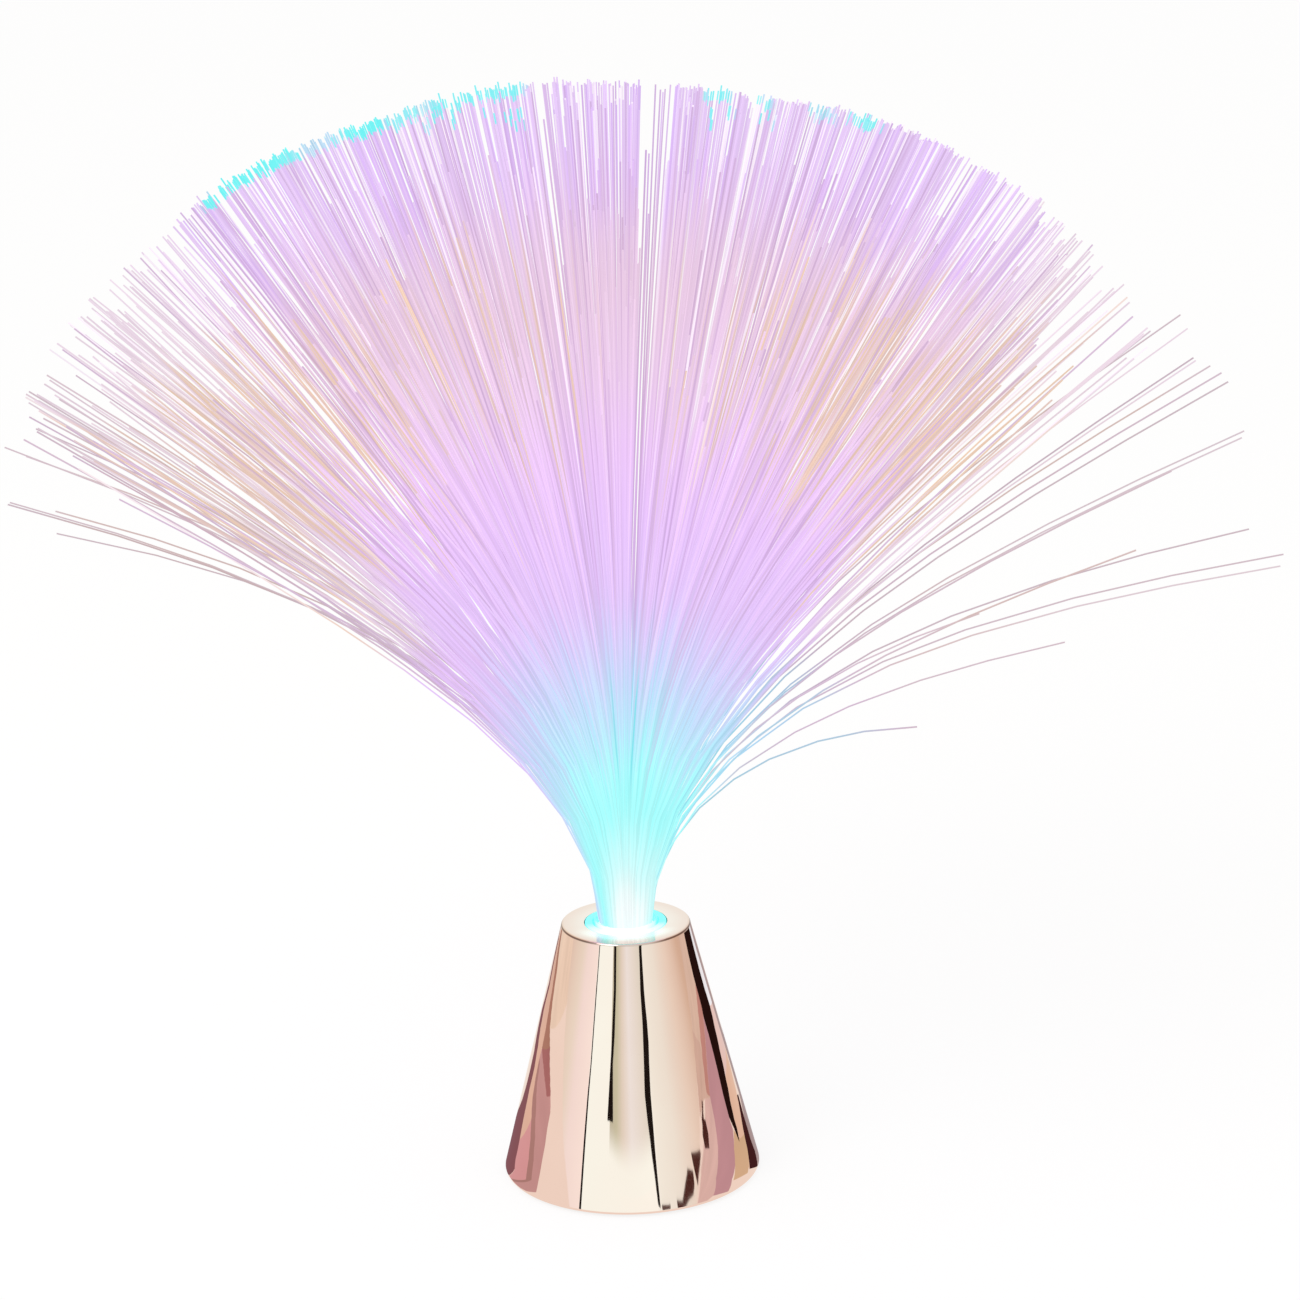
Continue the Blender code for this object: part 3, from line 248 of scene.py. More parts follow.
# %% [markdown]
# ## Putting a piece in place
#
# Every new piece is a bmesh that becomes an object at the origin, with its place in its mesh, just
# as the solids have theirs. Turned parts, such as the cone and its ring, come from an outline of
# (radius, height) points that the spin operator sweeps round Z.

# %% Helpers for pieces
MERGE = 0.001 * MM
SHARP = math.radians(35)
HOLD = 0.2 * MM


def add_object(name, shape, material, sharp=SHARP):
    mesh = bpy.data.meshes.new(name)
    shape.to_mesh(mesh)
    shape.free()
    mesh.shade_smooth()
    mesh.set_sharp_from_angle(angle=sharp)
    mesh.materials.append(material)
    item = bpy.data.objects.new(name, mesh)
    bpy.context.scene.collection.objects.link(item)
    return item


def outfit(piece, body, slot, *replaced):
    """Ties a piece to the body it moves with and hides the solids it stands for; the finish slot is
    not used.
    """
    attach(piece, body)
    if replaced:
        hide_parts(*replaced)
    return piece


def turned(outline, sides, closed=True):
    """Spins an outline round Z. A closed one makes a ring with its own wall."""
    shape = bmesh.new()
    points = [shape.verts.new((radius, 0, height)) for radius, height in outline]
    edges = [shape.edges.new(pair) for pair in zip(points, points[1:])]
    if closed:
        edges.append(shape.edges.new((points[-1], points[0])))
    bmesh.ops.spin(
        shape,
        geom=points + edges,
        cent=(0, 0, 0),
        axis=(0, 0, 1),
        angle=math.tau,
        steps=sides,
        use_merge=True,
    )
    bmesh.ops.remove_doubles(shape, verts=shape.verts, dist=MERGE)
    bmesh.ops.recalc_face_normals(shape, faces=shape.faces)
    return shape


def rounded(corners, steps=5):
    """An outline whose corners, each (radius, height, fillet), become arcs.

    A point just beyond each end of an arc keeps the flat beside it shaded flat.
    """
    points = []
    for index, (x, z, fillet) in enumerate(corners):
        here = Vector((x, z))
        if fillet == 0:
            points.append(tuple(here))
            continue
        before = (Vector(corners[index - 1][:2]) - here).normalized()
        after = (Vector(corners[(index + 1) % len(corners)][:2]) - here).normalized()
        half = before.angle(after) / 2
        centre = here + (before + after).normalized() * (fillet / math.sin(half))
        cut = fillet / math.tan(half)
        start = here + before * cut - centre
        end = here + after * cut - centre
        points.append(tuple(here + before * (cut + HOLD)))
        for step in range(steps + 1):
            arm = start.slerp(end, step / steps).normalized() * fillet
            points.append(tuple(centre + arm))
        points.append(tuple(here + after * (cut + HOLD)))
    return points


print("corners sharper than", round(math.degrees(SHARP)), "degrees stay crisp")


# %% [markdown]
# ## The mirror-plated cone
#
# The base is moulded plastic with a rose-gold mirror coat, so it has hardly a colour of its own:
# it shows the room, tinted. The solid's cone has too few sides for that, because each flat bends
# the reflection, so a finer cone with the same sizes stands in for it. Its outline is the solid's:
# a wall, a small fillet round the top and a rim that is rounded over below. A dark line on the edge
# of the top is a painted reflection, painted into its colour, and close to the ring the cyan light
# of the ring on the flat top is a painted reflection too, painted on as a glow.

# %% Rose-gold cone
SHELL_WALL = 2.06 * MM
TOP_WALL = 2 * MM
SHELL_TOP_R = 18.5 * MM
SHELL_TOP_FILLET = 0.8 * MM
SHELL_RIM_FILLET = 0.5 * MM
HOLE_R = 12 * MM
SHELL_SIDES = 192
# Painted reflection: a dark band below the top, painted into the cone's colour, stands for the dark
# line that the edge mirrors.
PAINTED_REFLECTION_BAND = (0.7 * MM, 0.25 * MM)
PAINTED_REFLECTION_FADE = 0.12 * MM
PAINTED_REFLECTION_DARKNESS = 0.85
# Painted reflection: the ring's cyan light on the flat top is painted on as a glow within this reach
# of the hole.
PAINTED_GLOW_REACH = 6 * MM
PAINTED_GLOW_STRENGTH = 0.6
FRONT_BLUR = 0.3

shell_bottom_r = (shell_high.x - shell_low.x) / 2
rim = shell_low.z
top = shell_high.z
shell_slope = (shell_bottom_r - SHELL_TOP_R) / (top - rim)
underside = top - TOP_WALL
inner_top_r = shell_bottom_r - shell_slope * (underside - rim) - SHELL_WALL

rose = Finish("rose_gold_plating")
x, y, z = rose.axes()
smear = rose.noise(38, 3).between(0.35, 0.75)
# Painted reflection: the base colour is darkened in a band just under the edge of the top.
edge_low, edge_high = [top - below for below in PAINTED_REFLECTION_BAND]
edge = z.between(edge_low, edge_low + PAINTED_REFLECTION_FADE) - z.between(edge_high, edge_high + PAINTED_REFLECTION_FADE)
radius = (x * x + y * y).root()
# Painted glow near the ring, strongest at the front and only on the flat top: the ring's cyan light
# painted onto the plating.
near = (HOLE_R + PAINTED_GLOW_REACH - radius).between(0, PAINTED_GLOW_REACH)
front = (y * (-1 / HOLE_R)).between(0.35, 0.95)
above = z.between(edge_low, edge_high)
painted_ring_glow = near * (front * 0.8 + 0.2) * above
# The painted dark band is weaker at the front, under the painted cyan glow of the ring.
edge = edge * (1 - front * (HOLE_R - abs(x)).between(0, PAINTED_GLOW_REACH) * 0.6)
plated = rose.mix(smear, srgb(246, 219, 208), srgb(248, 222, 211))
rose.principled(
    Base_Color=rose.mix(edge * PAINTED_REFLECTION_DARKNESS, plated, srgb(104, 78, 70)),
    Metallic=1.0,
    Roughness=0.012 + smear * 0.015 + near * front * above * FRONT_BLUR,
    Normal=rose.bump(rose.noise(26, 1.0), 0.04, 1 * MM),
    # The emission paints the ring's cyan light onto the plating.
    Emission_Color=rose.mix(painted_ring_glow.clamped(), BLACK, srgb(150, 226, 232)),
    Emission_Strength=PAINTED_GLOW_STRENGTH,
)
shell_outline = rounded(
    [
        (shell_bottom_r - SHELL_WALL, rim, 0),
        (shell_bottom_r, rim, SHELL_RIM_FILLET),
        (SHELL_TOP_R, top, SHELL_TOP_FILLET),
        (HOLE_R, top, 0),
        (HOLE_R, underside, 0),
        (inner_top_r, underside, 0),
    ]
)
cone = add_object("plated_cone", turned(shell_outline, SHELL_SIDES), rose.material)
outfit(cone, "base", "rose_chrome", "base_shell")
print("cone", round(shell_bottom_r / MM, 2), "mm radius,", len(cone.data.polygons), "faces")

# %% [markdown]
# ## The glowing ring
#
# A clear bush fills the hole in the top and takes the foot of the bundle. The lights below fill it
# with cyan, most at its sides, while the front is washed out to white. Real clear plastic would
# need light traced through it, which is slow and noisy at this size, so the ring glows by itself
# and only its skin is glossy.

# %% Ring in the top
RING_SIDES = 128
RING_BORE_R = 9.5 * MM
RING_SLEEVE_R = 11 * MM
RING_FLANGE = 2.2 * MM
RING_FILLET = 0.3 * MM
RING_GLOW = 0.8

ring_r = (collar_high.x - collar_low.x) / 2
flange_low = collar_high.z - RING_FLANGE

ring_finish = Finish("lit_ring")
x, y, z = ring_finish.axes()
arm = (x * x + y * y).root()
washed = ring_finish.noise(160, 2) * 0.2 + abs(x) / arm * 0.95 + y / arm * 0.35
ring_stops = colours((0.4, (200, 241, 244)), (0.75, (170, 244, 246)), (1.0, (94, 214, 218)))
ring_colour = ring_finish.ramp(washed, ring_stops)
ring_finish.principled(
    Base_Color=ring_colour,
    Roughness=0.12,
    Emission_Color=ring_colour,
    Emission_Strength=RING_GLOW,
)
ring_outline = rounded(
    [
        (RING_SLEEVE_R, collar_low.z, 0),
        (RING_SLEEVE_R, flange_low, 0),
        (ring_r, flange_low, 0),
        (ring_r, collar_high.z, RING_FILLET),
        (RING_BORE_R, collar_high.z, RING_FILLET),
        (RING_BORE_R, collar_low.z, 0),
    ],
    4,
)
ring = add_object("lit_ring", turned(ring_outline, RING_SIDES), ring_finish.material)
outfit(ring, "collar", "clear_plastic", "light_collar")
print("ring", round(ring_r / MM, 2), "mm radius")

# %% [markdown]
# ## The spray of fibres
#
# The bundle opens like a fountain. Each fibre stands upright at its foot and bends outwards, most
# near the foot and less and less above. Where its foot lies in the bundle decides which way it
# leans, so the fibres fan out without tangling. They cling together in tufts.
#
# Hair particles could do this, but they can't be exported as a mesh. Here a small triangle is made
# for the foot of each fibre, and then all of them are extruded together, one step at a time, along
# their own paths. First come the numbers that say how the fibres stand.

# %% Directions of the fibres
TUFTS = 230
FIBRES_PER_TUFT = 9
SEED = 5
GOLDEN_ANGLE = math.pi * (3 - math.sqrt(5))
LEAN_Y = math.radians(50)
LEAN_SHARES = (-1.0, -0.72, 0.76, 1.0)
LEANS_X = [math.radians(degrees) for degrees in (-57, -40, 35, 47)]
TUFT_SPREAD = math.radians(1.6)
TUFT_JITTER = math.radians(1.5)
FIBRE_LENGTH = 0.2372
LEFT_SHORTER_SHARE = 0.08
RIGHT_SHORTER_SHARE = 0.03
TUFT_LENGTH_SHARE = 0.004
FIBRE_LENGTH_SHARE = 0.005
BEND_SHARE = 0.25
BEND_JITTER_SHARE = 0.03
FOOT_SHARE = 0.95
FOOT_JITTER_SHARE = 0.03

print(TUFTS, "tufts of", FIBRES_PER_TUFT, "fibres")

# %% [markdown]
# A few stray fibres lie far out to the sides, most of them on the right, where the photograph shows
# each one apart from the others.

# %% Stray fibres
# Each stray: its lean to the side and to the back in degrees, its length in mm and its bend.
STRAYS = [
    (82.4, 3, 221, 0.30),
    (79.3, -8, 223, 0.32),
    (79.6, 6, 218, 0.33),
    (67.4, 5, 229, 0.27),
    (68.0, -14, 142, 0.56),
    (85.0, -16, 108, 0.9),
    (59.1, 12, 233, 0.25),
    (59.4, -4, 235, 0.27),
    (57.4, 8, 236, 0.31),
    (56.2, -12, 236, 0.28),
    (61.5, 2, 232, 0.26),
    (63.8, -9, 228, 0.27),
    (54.6, 14, 235, 0.25),
    (53.2, -6, 236, 0.26),
    (51.8, 3, 234, 0.24),
    (52.4, -15, 235, 0.25),
    (64.5, -18, 190, 0.3),
    (70.5, -22, 160, 0.36),
    (58.2, -20, 214, 0.28),
    (-77.7, 2, 205, 0.50),
    (-74.0, 9, 208, 0.44),
    (-71.4, -5, 219, 0.38),
    (-70.9, 6, 222, 0.40),
    (-68.2, -12, 221, 0.38),
    (-65.0, 3, 224, 0.37),
    (-63.6, -7, 229, 0.36),
]

print(len(STRAYS), "strays")

# %% [markdown]
# The tufts are placed on a sunflower spiral, which fills the round bundle evenly. A little chance in
# the lean, the length and the bend of each tuft and of each fibre keeps them from looking alike. The
# random numbers start from a fixed seed, so every run gives the same spray.

# %% Growth plan of the spray
random = np.random.default_rng(SEED)


def tuft_place(index):
    """The even place of a tuft in the bundle, as shares of its radius."""
    share = math.sqrt((index + 0.5) / TUFTS)
    turn = index * GOLDEN_ANGLE
    return np.array([share * math.cos(turn), share * math.sin(turn)])


def spray_rows():
    """One row for each fibre: foot in the bundle, lean, length, bend, tuft tone and fibre tone."""
    rows = []
    for index in range(TUFTS):
        foot = tuft_place(index)
        middle = np.array([np.interp(foot[0], LEAN_SHARES, LEANS_X), LEAN_Y * foot[1]])
        middle += random.normal(0, TUFT_JITTER, 2)
        shorter = (LEFT_SHORTER_SHARE if foot[0] < 0 else RIGHT_SHORTER_SHARE) * foot[0] ** 4
        longer = random.normal(0, TUFT_LENGTH_SHARE) - shorter
        tone = random.random()
        for _ in range(FIBRES_PER_TUFT):
            lean = middle + random.normal(0, TUFT_SPREAD, 2)
            length = FIBRE_LENGTH * (1 + longer + random.normal(0, FIBRE_LENGTH_SHARE))
            bend = BEND_SHARE + random.normal(0, BEND_JITTER_SHARE)
            own_foot = foot * FOOT_SHARE + random.normal(0, FOOT_JITTER_SHARE, 2)
            rows.append((*own_foot, *lean, length, bend, tone, random.random()))
    for side, depth, length, bend in STRAYS:
        foot = (math.copysign(FOOT_SHARE, side), depth / 60)
        lean = np.radians([side, depth])
        rows.append((*foot, *lean, length * MM, bend, random.random(), random.random()))
    return np.array(rows)


fibres = spray_rows()
print(len(fibres), "fibres")

# %% [markdown]
# The path of a fibre is worked out with arrays, all fibres at once. Its angle from upright grows
# as 1 - exp(-s / bend), which is how a springy rod that is held at its foot bends over.

# %% Paths of the fibres
STEPS = 9
STEP_CROWDING = 1.25
FINE_STEPS = 72
BUNDLE_R = 7.7 * MM
FOOT_SINK = 0.8 * MM

foot_z = ferrule_high.z - FOOT_SINK
step_shares = np.linspace(0, 1, STEPS + 1) ** STEP_CROWDING


def fibre_paths(rows):
    """Points of every fibre: an array of fibres by steps by three."""
    feet = rows[:, 0:2]
    feet = feet / np.maximum(1, np.linalg.norm(feet, axis=1))[:, None] * BUNDLE_R
    leans = rows[:, 2:4]
    total = np.linalg.norm(leans, axis=1)
    towards = leans / total[:, None]
    bend = rows[:, 5]
    shares = (np.arange(FINE_STEPS) + 0.5) / FINE_STEPS
    angles = total[:, None] / (1 - np.exp(-1 / bend))[:, None] * (1 - np.exp(-shares / bend[:, None]))
    stride = rows[:, 4] / FINE_STEPS
    start = np.zeros((len(rows), 1))
    across = np.hstack([start, np.cumsum(np.sin(angles) * stride[:, None], axis=1)])
    rise = np.hstack([start, np.cumsum(np.cos(angles) * stride[:, None], axis=1)])
    picks = np.round(step_shares * FINE_STEPS).astype(int)
    across, rise = across[:, picks], rise[:, picks]
    flat = feet[:, None, :] + towards[:, None, :] * across[:, :, None]
    return np.concatenate([flat, foot_z + rise[:, :, None]], axis=2)


print("fibres start", round(foot_z / MM, 1), "mm up")

# %% [markdown]
# Like hair, the spray has partings. Most fibres are drawn out of them, to one side or the other,
# so that white shows through, and a few stay in them.

# %% Partings
VIEW_SLOPE = 0.2
CHORD_SHARE = 0.78
PARTING_REST_SHARE = 0.15
PARTING_PULL = 0.4

# Each parting: its direction from upright and half its width, in degrees.
PARTINGS = [
    (-53.4, 0.7),
    (-50.6, 1.0),
    (-47.2, 1.5),
    (-44.6, 0.6),
    (-42.4, 1.0),
    (-40.2, 0.7),
    (-38.0, 0.6),
    (-36.3, 0.4),
    (-34.2, 1.3),
    (-31.9, 0.4),
    (-30.0, 0.6),
    (-26.8, 0.3),
    (-23.2, 0.4),
    (-20.2, 0.6),
    (-12.4, 0.6),
    (-4.0, 0.7),
    (3.7, 1.2),
    (7.6, 0.4),
    (10.3, 0.6),
    (16.4, 0.4),
    (20.0, 0.5),
    (24.6, 1.1),
    (28.5, 0.7),
    (34.6, 0.8),
    (38.5, 0.9),
]


def parted(rows):
    """Draws most fibres out of the partings, to one side or the other, as seen from the front."""
    reach = fibre_paths(rows)[:, -1] - (0, 0, foot_z)
    seen = np.degrees(np.arctan2(reach[:, 0], reach[:, 2] + reach[:, 1] * VIEW_SLOPE))
    for middle, half in PARTINGS:
        away = seen - middle
        caught = (np.abs(away) < half) & (rows[:, 7] > PARTING_REST_SHARE)
        push = np.sign(away) * half - away * PARTING_PULL
        rows[:, 2] += np.where(caught, np.radians(push) / CHORD_SHARE, 0)
    return rows


fibres = parted(fibres)
print(len(PARTINGS), "partings")

# %% [markdown]
# The fibres look as if cut to one length: in the photo nearly all of their tips end on one smooth
# outline, and only those at the sides are ragged. The outline was measured in the picture, in
# pixels from the foot. Each tip is therefore followed into the camera's picture, and its fibre gets
# the length at which it ends there. On the left the spray is sparser, so some fibres are left out.
# Last, no fibre may leave the box of the solids.

# %% Outline of the tips
OUTLINE_MIDDLE = (627, 925)
OUTLINE_ANGLES = [-52, -50, -46, -42, -38, -34, -30, -26, -18, -10, -2]
OUTLINE_ANGLES += [2, 6, 10, 16, 22, 26, 30, 34, 38, 42]
OUTLINE_RADII = [775, 795, 815, 825, 828, 832, 840, 845, 842, 847, 843]
OUTLINE_RADII += [838, 840, 838, 842, 840, 834, 833, 828, 812, 795]
TRIM_ROUNDS = 2
TRIM_SHARE = 0.93
TRIM_JITTER_SHARE = 0.003
RAGGED_SHARE = 0.04
EVEN_DIRECTIONS = (-33, 30)
SPARSE_DIRECTIONS = (-47, -29)
SPARSE_SHARE = 0.42
CLEAR = 0.3 * MM
LEFT_REACH = 173 * MM


def tip_places(rows):
    """How far from the foot, and in which direction, each tip shows in the camera's picture."""
    matrix = np.array(camera.matrix_world.inverted())
    local = fibre_paths(rows)[:, -1] @ matrix[:3, :3].T + matrix[:3, 3]
    flat = local[:, :2] / -local[:, 2:] * PICTURE_SIDE * CAMERA_LENS / camera_data.sensor_width
    flat += (TARGET_PIXEL[0] - OUTLINE_MIDDLE[0], OUTLINE_MIDDLE[1] - TARGET_PIXEL[1])
    return np.hypot(*flat.T), np.degrees(np.arctan2(*flat.T))


def thinned(rows):
    """Leaves out some of the fibres on the left, where the spray is sparser."""
    direction = tip_places(rows)[1]
    low, high = SPARSE_DIRECTIONS
    kept = random.random(len(rows)) > SPARSE_SHARE
    return rows[(direction < low) | (direction > high) | kept]


def trimmed(rows):
    """Cuts every fibre that nearly reaches the outline to end at it. Also tells which ones."""
    cut = np.zeros(len(rows), bool)
    for _ in range(TRIM_ROUNDS):
        distance, direction = tip_places(rows)
        outline = np.interp(direction, OUTLINE_ANGLES, OUTLINE_RADII)
        within = (direction > OUTLINE_ANGLES[0]) & (direction < OUTLINE_ANGLES[-1])
        cut |= within & (distance > outline * TRIM_SHARE)
        rows[:, 4] *= np.where(cut, outline / distance, 1)
    low, high = EVEN_DIRECTIONS
    ragged = ((direction < low) | (direction > high)) & within
    uneven = random.normal(0, 1, len(rows))
    rows[:, 4] *= 1 + np.where(ragged, -np.abs(uneven) * RAGGED_SHARE, uneven * TRIM_JITTER_SHARE)
    return rows, cut


def inside_box(rows):
    """Shortens the fibres that would leave the box of the solids."""
    root = np.array([0, 0, foot_z])
    reach = fibre_paths(rows)[:, -1] - root
    room = np.where(reach > 0, np.array(spray_high) - root, root - np.array(spray_low)) - CLEAR
    room[:, 0] = np.where(reach[:, 0] > 0, room[:, 0], LEFT_REACH)
    rows[:, 4] *= np.minimum(1, (room / np.maximum(np.abs(reach), MM)).min(axis=1))
    return rows


fibres, at_outline = trimmed(thinned(fibres))
paths = fibre_paths(inside_box(fibres))
print(len(fibres), "fibres,", np.count_nonzero(at_outline), "of them end on the outline")
print("tips reach, mm:", np.round(np.abs(paths[:, -1]).max(axis=0) / MM, 1))

# %% [markdown]
# Extruding all the feet together keeps the work short: one call of the operator makes one step of
# every fibre. Two whole-number layers remember which fibre a corner belongs to and which corner it
# is, and the new corners inherit them. Number layers carry what the finish needs along the fibre.

# %% Growing the fibres
FIBRE_R = 0.27 * MM
FRONT_TILT = 0.25
CORNERS = 3
FAR_OFF = 9


def side_axes(path):
    """Two directions across a fibre at each of its points."""
    along = np.gradient(path, axis=0)
    along /= np.linalg.norm(along, axis=1)[:, None]
    first = np.cross(along, (0, 1, 0))
    first /= np.linalg.norm(first, axis=1)[:, None]
    return first, np.cross(along, first)


def tip_reach(path, is_cut):
    """How far a tip on the outline is from the foot, as the finish reckons it, or else far off."""
    x, y, z = path[-1]
    return math.hypot(x, z - foot_z + y * FRONT_TILT) / FIBRE_LENGTH if is_cut else FAR_OFF


def grow(rows, paths):
    """Extrudes every fibre from its foot along its path."""
    shape = bmesh.new()
    owner = shape.verts.layers.int.new("fibre")
    corner = shape.verts.layers.int.new("corner")
    along = shape.verts.layers.float.new("along")
    tuft = shape.verts.layers.float.new("tuft")
    own = shape.verts.layers.float.new("own")
    side = shape.verts.layers.float.new("side")
    reach = shape.verts.layers.float.new("reach")
    reaches = [tip_reach(path, is_cut) for path, is_cut in zip(paths, at_outline)]
    axes = [side_axes(path) for path in paths]
    offsets = [math.tau * index / CORNERS for index in range(CORNERS)]

    def settle(vertex, step):
        index = vertex[owner]
        first, second = axes[index]
        angle = offsets[vertex[corner]] + rows[index, 7] * math.tau
        arm = first[step] * math.cos(angle) + second[step] * math.sin(angle)
        vertex.co = paths[index, step] + arm * FIBRE_R
        vertex[along] = step_shares[step]

    ends = []
    for index, row in enumerate(rows):
        points = [shape.verts.new((0, 0, 0)) for _ in range(CORNERS)]
        for place, point in enumerate(points):
            point[owner] = index
            point[corner] = place
            point[tuft] = row[6]
            point[own] = row[7]
            point[side] = row[2]
            point[reach] = reaches[index]
            settle(point, 0)
        ends.append(shape.faces.new(points))
    feet = list(ends)
    for step in range(1, STEPS + 1):
        grown = bmesh.ops.extrude_discrete_faces(shape, faces=ends)
        ends = grown["faces"]
        for face in ends:
            for vertex in face.verts:
                settle(vertex, step)
    for face in feet:
        if face.is_valid:
            face.normal_flip()
    return shape


spray_shape = grow(fibres, paths)
print(len(spray_shape.faces), "faces in the spray")

# %% [markdown]
# ## The light in the fibres
#
# The colours come from light that spreads out from the foot of the bundle, so they follow the
# distance from the foot rather than the length along each fibre. Each fibre has its own share of
# chance, and so has each tuft. They move the colours a little from one fibre to the next.

# %% Measures for the fibres' finish
fibre = Finish("lit_fibres")
along = fibre.attribute("along")
tuft = fibre.attribute("tuft")
own = fibre.attribute("own")
side = fibre.attribute("side")
reach = fibre.attribute("reach")
lean = abs(side)
x, y, z = fibre.axes()
rise = z - float(foot_z) + y * FRONT_TILT
share = (x * x + rise * rise).root() / FIBRE_LENGTH
direction = x.maths("ARCTAN2", x, rise)
jitter = (tuft - 0.5) * 0.05 + (own - 0.5) * 0.04
print("measures for the finish:", len(fibre.tree.nodes), "nodes")

# %% [markdown]
# Near the foot the light is white and then cyan, and above that pale blue. The middle of the bundle
# stays white the longest, and its flanks turn cyan first. Halfway up it has become violet.

# %% Light near the foot
half_width = 0.0085 + rise * 0.2 + rise * rise * 10.5
flank_stops = greys(
    (0.03, 0.34), (0.09, 0.27), (0.2, 0.13), (0.33, 0.065), (0.44, 0.03),
    (0.56, 0.028), (0.66, 0.045), (0.8, 0.045), (0.9, 0.07), (0.97, 0.14),
)
flank = fibre.ramp(x / half_width * 0.5 + 0.5, flank_stops)
foot_stops = colours(
    (0.0, (244, 252, 252)),
    (0.05, (242, 251, 252)),
    (0.07, (235, 251, 251)),
    (0.085, (222, 250, 250)),
    (0.105, (206, 250, 250)),
    (0.13, (194, 250, 250)),
    (0.155, (180, 250, 250)),
    (0.18, (167, 250, 250)),
    (0.205, (166, 250, 251)),
    (0.23, (172, 247, 251)),
    (0.255, (178, 240, 250)),
    (0.28, (186, 230, 250)),
    (0.31, (192, 224, 249)),
    (0.34, (200, 217, 249)),
    (0.38, (211, 209, 249)),
    (0.43, (223, 200, 248)),
    (0.48, (229, 196, 248)),
)
foot_light = fibre.ramp(share + flank + jitter * share.between(0.06, 0.2), foot_stops)
print(len(foot_stops), "colours near the foot")

# %% [markdown]
# The upper half is violet and pink. Towards both sides many strands are a warm beige, most of them
# a little below the tips, and the outermost ones are pale.

# %% Violet, pink and beige above
upper_stops = colours(
    (0.4, (226, 198, 248)),
    (0.5, (232, 197, 250)),
    (0.58, (235, 199, 246)),
    (0.66, (234, 203, 235)),
    (0.76, (232, 202, 227)),
    (0.84, (230, 201, 231)),
    (0.91, (229, 199, 242)),
    (0.97, (228, 200, 245)),
)
upper_light = fibre.ramp(share + jitter, upper_stops)
outer = abs(direction).between(0.48, 0.6)
upper_light = fibre.mix(outer * 0.8, upper_light, srgb(231, 215, 222))
warm_stops = greys(
    (0.1, 0.64), (0.2, 0.58), (0.33, 0.28), (0.42, 0.14),
    (0.56, 0.13), (0.62, 0.22), (0.68, 0.48), (0.85, 0.52),
)
warm_side = fibre.ramp(side * 0.5 + 0.5, warm_stops)
warm_height = share.between(0.42, 0.7) * (0.96 - share).between(0, 0.26)
warm = ((tuft * 0.6 + own * 0.4) + warm_side * warm_height - 1).between(-0.14, 0.06)
tan = fibre.ramp(own, colours((0.1, (230, 202, 190)), (0.5, (223, 194, 180)), (0.9, (236, 203, 168))))
upper_light = fibre.mix(warm * 0.9, upper_light, tan)
violet = (0.3 - tuft).between(0, 0.1) * share.between(0.8, 0.9) * (1 - outer)
upper_light = fibre.mix(violet * 0.45, upper_light, srgb(210, 168, 248))
body_light = fibre.mix(share.between(0.38, 0.46), foot_light, upper_light)
print(len(upper_stops), "colours above")

# %% [markdown]
# Some fibres are paler or deeper than their neighbours, which draws the fine lines in the spray. A
# few carry cyan further up, and the strays at the sides are a dull rose.

# %% Odd fibres
pale = own.between(0.85, 0.88) * share.between(0.4, 0.7) * (y + 0.09).between(0, 0.05)
deep = (0.15 - own).between(0, 0.03) * share.between(0.2, 0.5)
cool = own.between(0.4, 0.41) * (0.44 - own).between(0, 0.01) * (0.36 - share).between(0, 0.08)
cool = cool * share.between(0.15, 0.22) * (0.3 - lean).between(0, 0.1)
stray = lean.between(0.9, 1.0) * along.between(0.25, 0.4)
cyan_stray = side.between(0.9, 1.0) * own.between(0.5, 0.52) * (0.42 - share).between(0, 0.08)
odd_fibres = [
    (pale * 0.85, (252, 242, 253)),
    (deep * 0.5, (196, 158, 204)),
    (cool * 0.8, (110, 232, 242)),
    (stray * 0.7, (196, 174, 182)),
    (cyan_stray * 0.6, (140, 216, 234)),
]
for amount, colour in odd_fibres:
    body_light = fibre.mix(amount, body_light, srgb(*colour))
ripple = own.maths("FRACT", own * 37)
body_light = fibre.mix(ripple * 0.14 + 0.86, BLACK, body_light)
print(len(odd_fibres), "kinds of odd fibres")

# %% [markdown]
# Where a fibre was cut, its end shows the cyan light of the lamp. From the front this shows most on
# the upper left, and in a few places on the right.

# %% Bright tips and the finished spray
FIBRE_PAINT = 0.12
FIBRE_GLOW = 0.925
TIP_SHARE = 0.013

# How bright the cut tips are, by their direction in degrees from upright.
BRIGHT_TIPS = [(-27.7, 0), (-27.4, 1), (-20.9, 1), (-20.6, 0.45), (-17.7, 0.45), (-17.4, 1)]
BRIGHT_TIPS += [(-14.4, 1), (-14.1, 0.4), (-13.7, 0.8), (-12.3, 0.8), (-12.1, 0.5), (-11.3, 0.5)]
BRIGHT_TIPS += [(-11.1, 0.9), (-5.3, 0.9), (-5.0, 0), (6.7, 0), (6.9, 0.9), (8.4, 0.9), (8.6, 0)]
BRIGHT_TIPS += [(9.9, 0), (10.1, 0.8), (10.9, 0.8), (11.1, 0), (13.8, 0), (14.0, 0.6), (14.8, 0.6)]
BRIGHT_TIPS += [(15.0, 0), (16.7, 0), (16.9, 0.9), (18.0, 0.9), (18.2, 0)]

